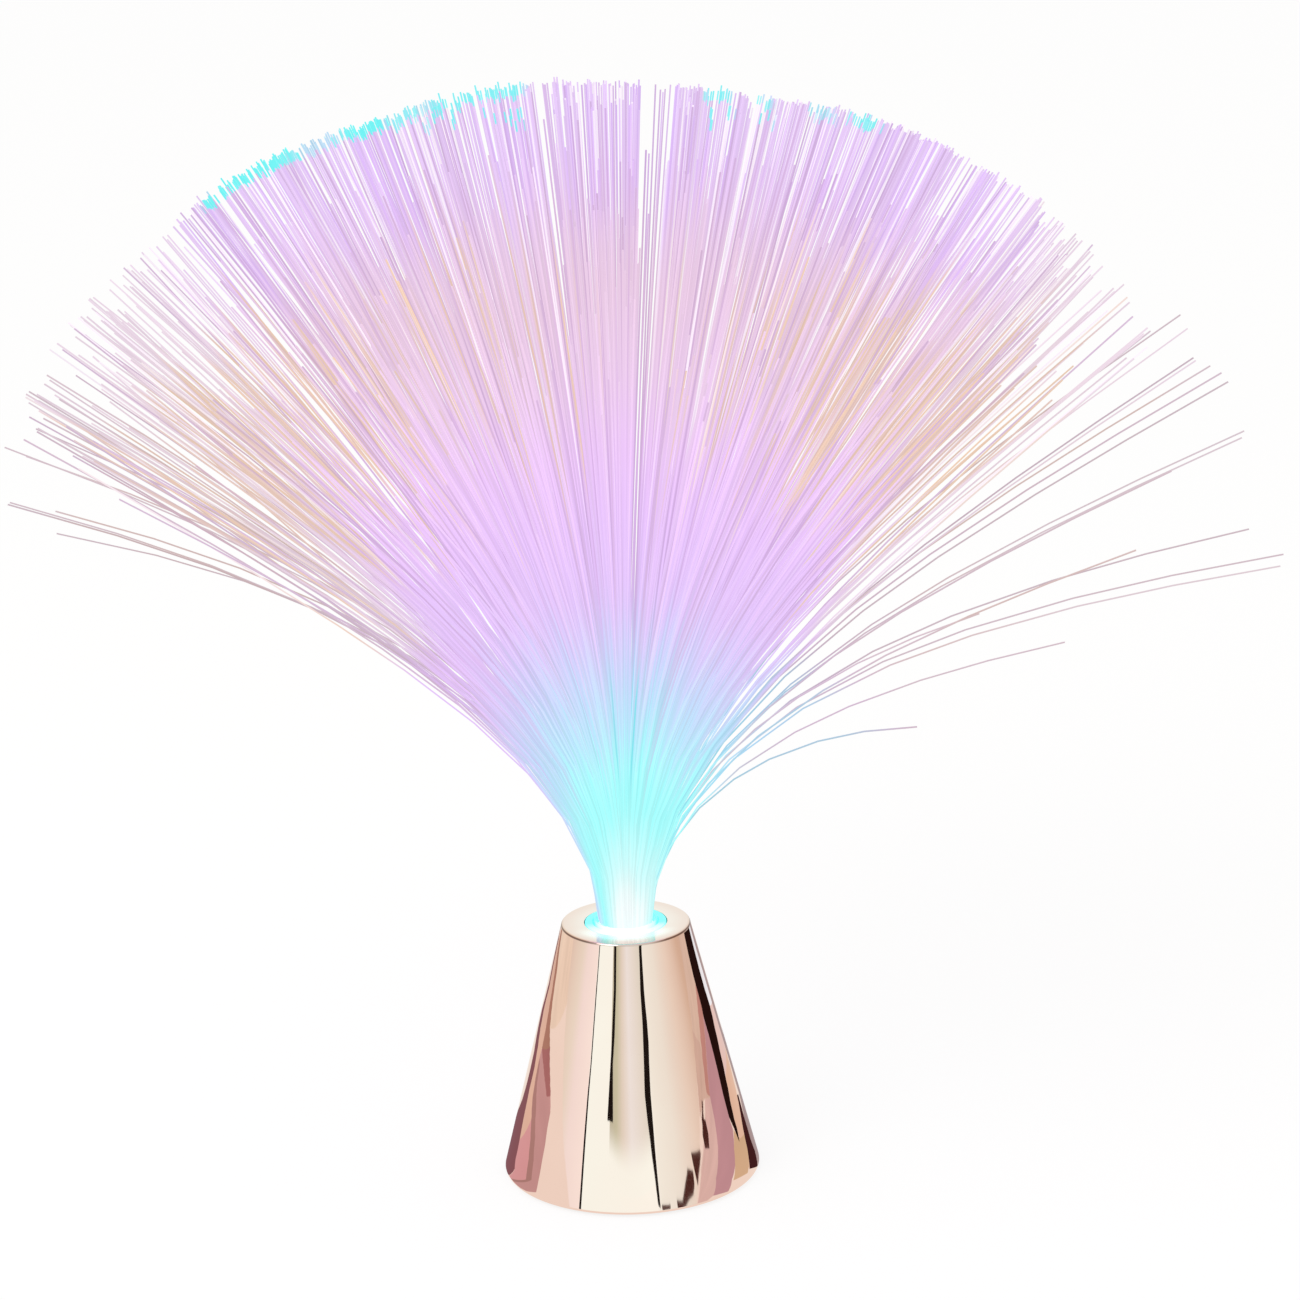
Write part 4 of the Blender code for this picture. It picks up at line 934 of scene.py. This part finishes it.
bright_stops = greys(*[(degrees / 90 + 0.5, tone) for degrees, tone in BRIGHT_TIPS])
bright = fibre.ramp(direction * (1 / math.radians(90)) + 0.5, bright_stops)
tip = (share + TIP_SHARE - reach).between(0, 0.002) * bright
body_light = fibre.mix(tip, body_light, srgb(104, 236, 236))
fibre.principled(
    Base_Color=fibre.mix(FIBRE_PAINT, BLACK, body_light),
    Roughness=0.4,
    Emission_Color=body_light,
    Emission_Strength=FIBRE_GLOW,
)
spray = add_object("fibre_strands", spray_shape, fibre.material)
outfit(spray, "spray", "fibre", "fibre_spray")
print("the spray's finish:", len(fibre.tree.nodes), "nodes")

# %% [markdown]
# ## Finishes of the carried-over solids
#
# The other solids have the right shape already, so only their finish is new. Most of them hide
# inside the cone; the plate, the door, the screws, the feet and the switch knob show from below.

# %% Finishes for the underside and the inside
GRAIN_DEPTH = 0.1 * MM
SCRATCH_STRETCH = (30, 900, 900)


def moulded(name, colour, second, roughness, grain=900, strength=0.25):
    """Moulded plastic: a faint mottle and the fine spark-eroded grain of the mould."""
    finish = Finish(name)
    mottle = finish.noise(45, 3).between(0.35, 0.7)
    finish.principled(
        Base_Color=finish.mix(mottle, colour, second),
        Roughness=roughness + mottle * 0.08,
        Normal=finish.bump(finish.noise(grain, 2), strength, GRAIN_DEPTH),
    )
    return finish.material


def metal(name, colour, second, roughness, stretch=SCRATCH_STRETCH):
    """Plated sheet metal with fine drawn scratches."""
    finish = Finish(name)
    drawn = finish.node("Mapping", values={"Vector": finish.place(), "Scale": stretch})
    scratches = finish.noise(1, 2, vector=drawn)
    finish.principled(
        Base_Color=finish.mix(scratches, colour, second),
        Metallic=1.0,
        Roughness=roughness + scratches * 0.15,
    )
    return finish.material


def lit(name, colour, second, strength):
    """Plastic that the lights fill with glow, a little uneven."""
    finish = Finish(name)
    uneven = finish.noise(220, 2).between(0.3, 0.7)
    glow = finish.mix(uneven, colour, second)
    finish.principled(Base_Color=glow, Roughness=0.25, Emission_Color=glow, Emission_Strength=strength)
    return finish.material


def dress(material, *names):
    """Gives solids their finish."""
    for name in names:
        for slot in nodes[name].material_slots:
            slot.material = material
    dressed.extend(names)


dressed = []
plate_black = moulded("textured_black", srgb(38, 37, 39), srgb(46, 44, 46), 0.5)
dress(plate_black, "base_plate", "battery_door")
white_satin = moulded("white_satin", srgb(236, 236, 232), srgb(228, 228, 224), 0.4)
dress(white_satin, "lamp_holder", "board_cap", "switch_knob")
dress(moulded("black_satin", srgb(28, 28, 29), srgb(36, 36, 37), 0.4), "switch_body", "driver_chip")
dress(moulded("resistor_black", srgb(24, 24, 26), srgb(34, 33, 34), 0.3), "resistor_1", "resistor_2")
foot_rubber = moulded("foot_rubber", srgb(52, 52, 54), srgb(64, 63, 64), 0.8, 1400, 0.4)
dress(foot_rubber, *[f"foot_pad_{index}" for index in range(1, 5)])
dress(moulded("board_mask", srgb(24, 92, 52), srgb(30, 108, 62), 0.35), "led_board")
dress(moulded("red_sleeving", srgb(196, 36, 32), srgb(208, 48, 40), 0.4), "wire_red")
dress(moulded("white_sleeving", srgb(232, 232, 228), srgb(222, 222, 218), 0.4), "wire_white")
dress(moulded("black_sleeving", srgb(30, 30, 32), srgb(40, 40, 42), 0.4), "wire_black")
screws = [f"base_screw_{i}" for i in range(1, 5)] + ["door_screw", "holder_screw_1", "holder_screw_2"]
dress(metal("zinc_screws", srgb(196, 196, 200), srgb(172, 172, 178), 0.25), *screws)
contacts = ["contact_positive", "contact_link_a", "contact_link_b", "contact_negative"]
contacts += ["switch_terminal_in", "switch_terminal_out"]
dress(metal("nickel_contacts", srgb(206, 202, 192), srgb(186, 182, 172), 0.3), *contacts)
cell_jacket = metal("cell_jacket", srgb(150, 168, 160), srgb(120, 140, 132), 0.32)
dress(cell_jacket, "battery_1", "battery_2", "battery_3")
dress(ring_finish.material, "ferrule")
dress(lit("lit_core", srgb(214, 252, 254), srgb(168, 246, 250), 0.9), "fibre_core")
dress(lit("red_lens", srgb(240, 70, 60), srgb(226, 48, 44), 0.5), "led_red")
dress(lit("green_lens", srgb(80, 226, 96), srgb(60, 206, 80), 0.5), "led_green")
dress(lit("blue_lens", srgb(80, 110, 246), srgb(60, 90, 236), 0.5), "led_blue")
print(len(dressed), "of", len(nodes), "solids keep their shape")

# %% [markdown]
# ## The studio
#
# The photograph shows the lamp on pure white. The floor is pale, and for the camera it glows a
# little so that it runs into the white background without a horizon; the rest of it is ordinary
# paint, which keeps the lamp's soft shadow. Seen from below it is clear, so that the switch and
# the battery door can be looked at, and the patch under the base sends light up to them. It lies a
# hair's breadth below the feet, so that their faces don't lie in one plane with it.

# %% Floor
FLOOR_HALF = 6.0
WHITE = (1, 1, 1, 1)
CAMERA_WHITE_SHARE = 0.8
UNDER_BASE_R = 34 * MM
FLOOR_DROP = 0.02 * MM

floor_finish = Finish("pale_floor")
x, y, z = floor_finish.axes()
under_base = x.maths("LESS_THAN", (x * x + y * y).root(), UNDER_BASE_R)
lit_patch = (floor_finish.ray("Glossy") + floor_finish.ray("Diffuse") * under_base).clamped()
from_below = floor_finish.node("NewGeometry", output="Backfacing")
mottle = floor_finish.noise(3, 2) * 0.01
paint = floor_finish.node("BsdfDiffuse", values={"Color": srgb(246, 245, 244)})
mirror_white = floor_finish.emission(srgb(246, 240, 232))
for_camera = floor_finish.mix_shaders(CAMERA_WHITE_SHARE + mottle, paint, floor_finish.emission(WHITE))
shown = floor_finish.mix_shaders(floor_finish.ray("Camera"), paint, for_camera)
upper_side = floor_finish.mix_shaders(lit_patch, shown, mirror_white)
clear = floor_finish.node("BsdfTransparent")
floor_finish.surface(floor_finish.mix_shaders(from_below, upper_side, clear))
floor_shape = bmesh.new()
below_feet = Matrix.Translation((0, 0, -FLOOR_DROP))
bmesh.ops.create_grid(floor_shape, x_segments=1, y_segments=1, size=FLOOR_HALF, matrix=below_feet)
floor = add_object("floor", floor_shape, floor_finish.material)
print("floor", 2 * FLOOR_HALF, "m wide")

# %% [markdown]
# The world gives the even light of a big white room, and one large lamp from the front left adds
# shape. The camera sees the world as plain white, as it does the floor.

# %% World and lamp
LAMP_PLACE = Vector((-0.7, -0.8, 1.2))
LAMP_SIZE = 0.9
LAMP_WATTS = 6

sky = Finish("sky", bpy.data.worlds.new("studio"))
seen = (sky.ray("Camera") + sky.ray("Transmission")).clamped()
room_light = sky.node("Background", values={"Color": (1, 0.99, 0.98, 1)})
beyond = sky.node("Background", values={"Color": WHITE})
sky.surface(sky.mix_shaders(seen, room_light, beyond), "OutputWorld")
bpy.context.scene.world = sky.material

lamp_data = bpy.data.lights.new("soft_lamp", "AREA")
lamp_data.shape = "DISK"
lamp_data.size = LAMP_SIZE
lamp_data.energy = LAMP_WATTS
lamp = bpy.data.objects.new("soft_lamp", lamp_data)
lamp.location = LAMP_PLACE
lamp.rotation_euler = (-LAMP_PLACE).to_track_quat("-Z", "Y").to_euler()
bpy.context.scene.collection.objects.link(lamp)
print("lamp", LAMP_WATTS, "W,", round(LAMP_PLACE.length, 2), "m away")

# %% [markdown]
# A mirror shows what stands round it. The dark lines and the cream and pink bands on the cone are
# the edges of cards, stands and lamps in the photographer's room. Here a round wall and a few
# cards stand in for that room, and only mirrors see them. The place of each one was found by
# following the camera's line of sight to the cone and on to where the cone sends it; here the
# places are given. Azimuths are counted about the lamp from the front, towards its right.

# %% Wall that the cone mirrors
WALL_R = 1.3
WALL_TOP = 1.9
WALL_STEPS = 120
WALL_GLOW = 1.4


def on_wall(azimuth, height, radius=WALL_R):
    """The place at an azimuth and a height on the wall, or on a circle nearer to the lamp."""
    angle = math.radians(azimuth)
    return (radius * math.sin(angle), -radius * math.cos(angle), height)


mirror_cards = []


def mirror_only(item):
    """Lets only mirrors see a card."""
    mirror_cards.append(item)
    item.visible_camera = False
    item.visible_diffuse = False
    item.visible_transmission = False
    item.visible_shadow = False


def wall_finish(name, stops, fade=None):
    """A glow whose colour changes with the azimuth, given as stops of (azimuth, colour).

    A fade gives the two heights between which it comes out of a colour below.
    """
    finish = Finish(name)
    x, y, z = finish.axes()
    share = x.maths("ARCTAN2", x, y * -1) / math.tau + 0.5
    places = [((degrees + 180) / 360, srgb(*colour)) for degrees, colour in stops]
    glow = finish.ramp(share, places)
    if fade:
        low, high, below = fade
        glow = finish.mix(z.between(low, high), srgb(*below), glow)
    finish.surface(finish.emission(glow, WALL_GLOW))
    return finish.material


def arc_card(name, first, last, low, high, material, radius=WALL_R):
    """An upright curved card between two azimuths and two heights."""
    shape = bmesh.new()
    ends = [shape.verts.new(on_wall(first, height, radius)) for height in (low, high)]
    edge = shape.edges.new(ends)
    steps = max(1, round(WALL_STEPS * (last - first) / 360))
    angle = math.radians(last - first)
    bmesh.ops.spin(shape, geom=ends + [edge], cent=(0, 0, 0), axis=(0, 0, 1), angle=angle, steps=steps)
    mirror_only(add_object(name, shape, material))


room_glow = wall_finish(
    "room_wall",
    [
        (-180, (214, 224, 222)),
        (-150, (205, 204, 192)),
        (-122, (196, 182, 167)),
        (-108, (197, 186, 176)),
        (-90, (203, 200, 190)),
        (-76, (207, 209, 200)),
        (-65, (216, 215, 216)),
        (-47.2, (222, 223, 222)),
        (-46.4, (222, 243, 241)),
        (22, (225, 241, 239)),
        (24, (215, 229, 225)),
        (42, (211, 221, 216)),
        (53, (208, 211, 204)),
        (65, (206, 202, 192)),
        (78, (199, 189, 177)),
        (92, (188, 170, 153)),
        (110, (184, 166, 152)),
        (180, (214, 224, 222)),
    ],
)
arc_card("room_wall", -180, 180, 0, WALL_TOP, room_glow)
print("wall", WALL_R, "m from the lamp")

# %% [markdown]
# In front of the wall hangs a grey backdrop, between the two dark lines near the middle of the
# cone. Its left edge is in shade. The lines themselves are the stands that hold it, and a third
# stand is thinner and further left.

# %% Backdrop and stands
BACKDROP_R = 1.26
STAND_R = 1.22
BACKDROP_SIDES = (-22, 22.3)
BACKDROP_HEIGHTS = (0.078, 0.6)
BACKDROP_FADE = (0.09, 0.115, (223, 242, 240))

backdrop_glow = wall_finish(
    "grey_backdrop",
    [
        (-22, (171, 179, 163)),
        (-15, (178, 188, 166)),
        (-8, (202, 206, 198)),
        (0, (211, 222, 225)),
        (12, (205, 214, 210)),
        (22, (196, 207, 198)),
    ],
    BACKDROP_FADE,
)
arc_card("grey_backdrop", *BACKDROP_SIDES, *BACKDROP_HEIGHTS, backdrop_glow, BACKDROP_R)


def glow_finish(name, colour):
    """An even glow with a slow change of tone, for a card that only mirrors see."""
    finish = Finish(name)
    tone = finish.noise(6, 2) * 0.3 + 0.85
    finish.surface(finish.emission(srgb(*colour), tone * WALL_GLOW))
    return finish.material


def flat_card(name, corners, material):
    """A flat card from corners that are already places."""
    shape = bmesh.new()
    shape.faces.new([shape.verts.new(corner) for corner in corners])
    mirror_only(add_object(name, shape, material))


stand_dark = glow_finish("stand_dark", (24, 20, 18))
stand_brown = glow_finish("stand_brown", (64, 36, 32))


def stand(name, corners, material=stand_dark):
    """A flat card on the circle of the stands, from corners of (azimuth, height)."""
    flat_card(name, [on_wall(azimuth, height, STAND_R) for azimuth, height in corners], material)


def stand_between(name, left, right):
    """A stand whose two edges are given from its top down."""
    stand(name, left + right[::-1])


thin_left = [(-46.6, 0.5), (-46.6, 0.16), (-46.9, 0.147), (-46.8, 0.106), (-47.5, 0.086)]
thin_left += [(-47.7, 0.062), (-47.5, 0.039), (-47.2, 0)]
thin_right = [(-45.2, 0.5), (-45.2, 0.165), (-45.2, 0.15), (-45.0, 0.11), (-45.7, 0.09)]
thin_right += [(-45.6, 0.067), (-45.6, 0.043), (-45.4, 0)]
stand_between("stand_thin", thin_left, thin_right)
short_left = [(-21.5, 0.5), (-20.6, 0.209), (-19.8, 0.188), (-21.4, 0.163), (-22.4, 0.144)]
short_left += [(-23.3, 0.125), (-24.2, 0.108)]
short_right = [(-17.6, 0.5), (-16.8, 0.211), (-16.6, 0.19), (-18.0, 0.165), (-19.3, 0.147)]
short_right += [(-19.0, 0.129), (-18.6, 0.112)]
stand_between("stand_short", short_left, short_right)
centre_left = [(22.0, 0.5), (21.6, 0.219), (20.5, 0.205), (18.4, 0.189), (18.3, 0.171), (17.6, 0.159)]
centre_left += [(16.8, 0.145), (15.9, 0.131), (16.8, 0.113), (17.9, 0.1), (19.7, 0.081), (21.0, 0.06)]
centre_right = [(26.4, 0.5), (26.2, 0.213), (25.2, 0.205), (24.3, 0.183), (24.8, 0.164)]
centre_right += [(24.6, 0.153), (23.3, 0.139), (21.9, 0.126), (22.2, 0.108), (22.2, 0.096)]
centre_right += [(22.4, 0.078), (23.0, 0.056)]
stand_between("stand_centre", centre_left, centre_right)
print("backdrop", BACKDROP_R, "m and stands", STAND_R, "m from the lamp")

# %% [markdown]
# Low on the right a row of dark things stands along the foot of the wall. In the cone it turns
# into a line of steps.

# %% Dark steps on the right
steps = [
    [(24.1, 0.057), (31.8, 0.047), (31.4, 0.045), (24.4, 0.053)],
    [(37.6, 0.04), (44.2, 0.027), (43.0, 0.021), (40.4, 0.024), (37.8, 0.032)],
    [(51.6, 0.03), (56.6, 0.016), (56, 0.009), (53.8, 0.009), (48.6, 0.018), (43.6, 0.024)]
    + [(42.4, 0.03)],
    [(57.2, 0.027), (67.5, 0), (59.0, 0), (58.2, 0.011)],
]
for index, corners in enumerate(steps):
    stand(f"step_{index}", corners, stand_brown)
print(len(steps), "steps")

# %% [markdown]
# The sides of the cone lean back, so they mirror the floor and not the wall. On it lie sheets in
# soft reds and browns, one over the other at small steps of height. First come their colours.

# %% Colours of the sheets
SHEET_Z = 0.15 * MM


def sheet(name, corners, material, level=1):
    """A sheet on the floor, from corners in mm, at its level above the floor."""
    flat_card(name, [(x * MM, y * MM, level * SHEET_Z) for x, y in corners], material)


black = glow_finish("black_sheet", (30, 16, 14))
plum = glow_finish("plum_sheet", (116, 80, 88))
brown = glow_finish("brown_sheet", (150, 116, 104))
wine = glow_finish("wine_sheet", (146, 102, 104))
umber = glow_finish("umber_sheet", (172, 140, 142))
streak = glow_finish("streak_sheet", (150, 120, 118))
amber = glow_finish("amber_sheet", (194, 170, 156))
rosy = glow_finish("rosy_sheet", (188, 146, 152))
mauve = glow_finish("mauve_sheet", (168, 136, 146))
gold = glow_finish("gold_sheet", (186, 166, 138))
peach = glow_finish("peach_sheet", (202, 180, 162))
blush = glow_finish("blush_sheet", (202, 188, 186))
tawny = glow_finish("tawny_sheet", (190, 176, 164))
rosy_low = glow_finish("rosy_low_sheet", (190, 170, 168))
tan_card = glow_finish("tan_sheet", (184, 166, 156))
mauve_dark = glow_finish("mauve_line_sheet", (169, 130, 124))
amber_pale = glow_finish("amber_pale_sheet", (206, 198, 184))
pale = glow_finish("pale_sheet", (212, 226, 236))
dusk = glow_finish("dusk_sheet", (150, 138, 140))
corner = glow_finish("corner_sheet", (56, 28, 30))
print("sheets lie", round(SHEET_Z / MM, 2), "mm over each other")

# %% [markdown]
# On the right a black strip runs towards the lamp. A mauve sheet lies outside it, and pale and
# peach ones inside. Each edge is given from far to near.

# %% Sheets on the right
strip_left = [(580, 330), (577, 300), (560, 262), (509, 223), (425, 191), (387, 160), (318, 138)]
strip_left += [(276, 116), (238, 94), (194, 66), (146, 42), (114, 33), (84, 20)]
strip_right = [(222, 330), (222, 284), (230, 250), (220, 222), (198, 194), (168, 172), (166, 142)]
strip_right += [(158, 114), (146, 90), (130, 62), (112, 43), (98, 34)]
far_left = [(75, 63), (74, 44), (71, 33), (65, 23), (58, 13), (52, 4), (45, -5)]
mauve_edge = [(381, 177), (420, 140), (457, 79), (463, 38), (429, 6), (331, -4), (256, -17)]
mauve_edge += [(199, -33), (147, -48), (76, -45)]
gold_edge = [(46, -25), (67, -17), (83, -3), (104, 11), (122, 32)]
sheet("black_strip", strip_left + strip_right[::-1], black, 3)
sheet("mauve_sheet", mauve_edge + gold_edge + strip_left[10:4:-1], mauve)
gold_corners = [(118, 32), (104, 11), (83, -3), (60, -17), (45, -8), (58, 13), (66, 28), (84, 24)]
sheet("gold_patch", gold_corners, gold, 2)
corner_right = [(66, 62), (59, 41), (53, 29), (49, 20), (42, 8), (38, -5)]
silhouette = [(170, 300), (150, 229), (128, 200), (116, 175), (100, 149), (86, 125), (76, 104)]
silhouette += [(66, 82), (58, 61)]
sheet("dark_corner", far_left + corner_right[::-1], corner, 3)
sheet("dusk_corner", silhouette[6:] + corner_right[1:] + [(30, -5), (30, 110)], dusk, 2)
sheet("silhouette_line", silhouette[:7] + [(50, 100), (70, 320)], dusk, 2)
sheet("peach_right", strip_right[8:] + [(84, 20)] + far_left[::-1] + [(80, 111)], peach)
sheet("blush_right", strip_right[5:9] + [(80, 111), (100, 160)], blush)
sheet("pale_right", strip_right[:6] + [(100, 160), (120, 220), (140, 420)], pale)
peach_low = [(429, 6), (620, -60), (760, -120), (1150, -330), (1290, -160)]
far_edge = [(1290, 160), (1220, 460), (900, 930), (600, 1000)]
mauve_outer = [(540, -20), (610, 30), (620, 90), (560, 160), (480, 215)]
sheet("peach_far", mauve_edge[:5] + peach_low + far_edge + strip_left[:5], tawny)
sheet("tan_far", mauve_edge[3:5] + peach_low[1:] + [(1290, -40), (700, 60)], tan_card, 2)
sheet("mauve_line", mauve_edge[:5] + mauve_outer, mauve_dark, 3)
near_edge = [(429, 6), (331, -4), (256, -17), (199, -33), (147, -48), (76, -45)]
sheet("blush_low", near_edge + [(90, -110), (300, -300), (700, -330), (620, -60)], rosy_low)
sheet("step_corner", [(1056, -608), (1119, -486), (925, -370), (928, -433)], stand_brown, 2)
step_far = [(558, -177), (788, -242), (892, -224), (844, -148), (742, -111), (737, -161), (612, -114)]
sheet("step_far", step_far + [(458, -89), (386, -95)], stand_brown, 2)
print(len(mirror_cards), "cards and sheets so far")

# %% [markdown]
# On the left the bands follow each other from the silhouette of the cone inwards: plum, amber,
# brown, wine, umber and rosy. Together they give the cone its mauve edge.

# %% Sheets on the left
outline = [(-112, 230), (-138, 191), (-124, 174), (-116, 160), (-120, 142), (-132, 125), (-127, 103)]
outline += [(-105, 80), (-98, 69), (-84, 49), (-70, 29), (-62, 19), (-54, 10), (-48, 1), (-38, -6)]
outer_edge = [(-50, 230), (-104, 184), (-84, 161), (-68, 144), (-74, 128), (-88, 112), (-82, 93)]
outer_edge += [(-68, 72), (-58, 60), (-40, 44), (-26, 20), (-30, -6)]
line_outer = [(-117, 260), (-212, 228), (-230, 206), (-230, 187), (-223, 155), (-198, 130)]
far_left_edge = [(-1290, 60), (-1290, 500), (-900, 930), (-300, 900), (-120, 300)]
line_middle = [(-255, 102), (-303, 65), (-322, 44)]
line_inner = [(-179, 270), (-281, 238), (-290, 212), (-297, 191), (-316, 155), (-363, 120)]
edge_low = [(-402, 61), (-416, 19), (-400, -7), (-307, -7), (-243, -13), (-174, -15), (-97, -19)]
edge_low += [(-54, -22), (-36, -16)]
umber_outer = [(-178, 117), (-154, 94), (-140, 71), (-135, 49), (-120, 27), (-93, 8), (-58, -9)]
umber_outer += [(-38, -8)]
streak_inner = [(-190, 111), (-176, 84), (-176, 58), (-152, 24), (-112, 2), (-70, -12), (-38, -10)]
sheet("amber_far", line_inner[:5] + far_left_edge, amber_pale)
sheet("plum_outline", outline + outer_edge[::-1], plum, 2)
sheet("brown_line", line_outer + line_inner[::-1], brown, 2)
sheet("wine_line", [line_outer[-1]] + line_middle + [(-416, 19), (-402, 61), line_inner[-1]], wine, 3)
sheet("umber_sheet", umber_outer + edge_low[::-1] + [line_inner[-1], line_outer[-1]], umber)
sheet("streak_sheet", umber_outer + streak_inner[::-1], streak, 2)
amber_inner = line_outer + umber_outer[:4]
sheet("amber_sheet", outline[:11] + amber_inner[::-1], amber)
sheet("rosy_sheet", outline[10:] + umber_outer[:2:-1], rosy)
print(len(mirror_cards), "cards and sheets that only the mirror shows")
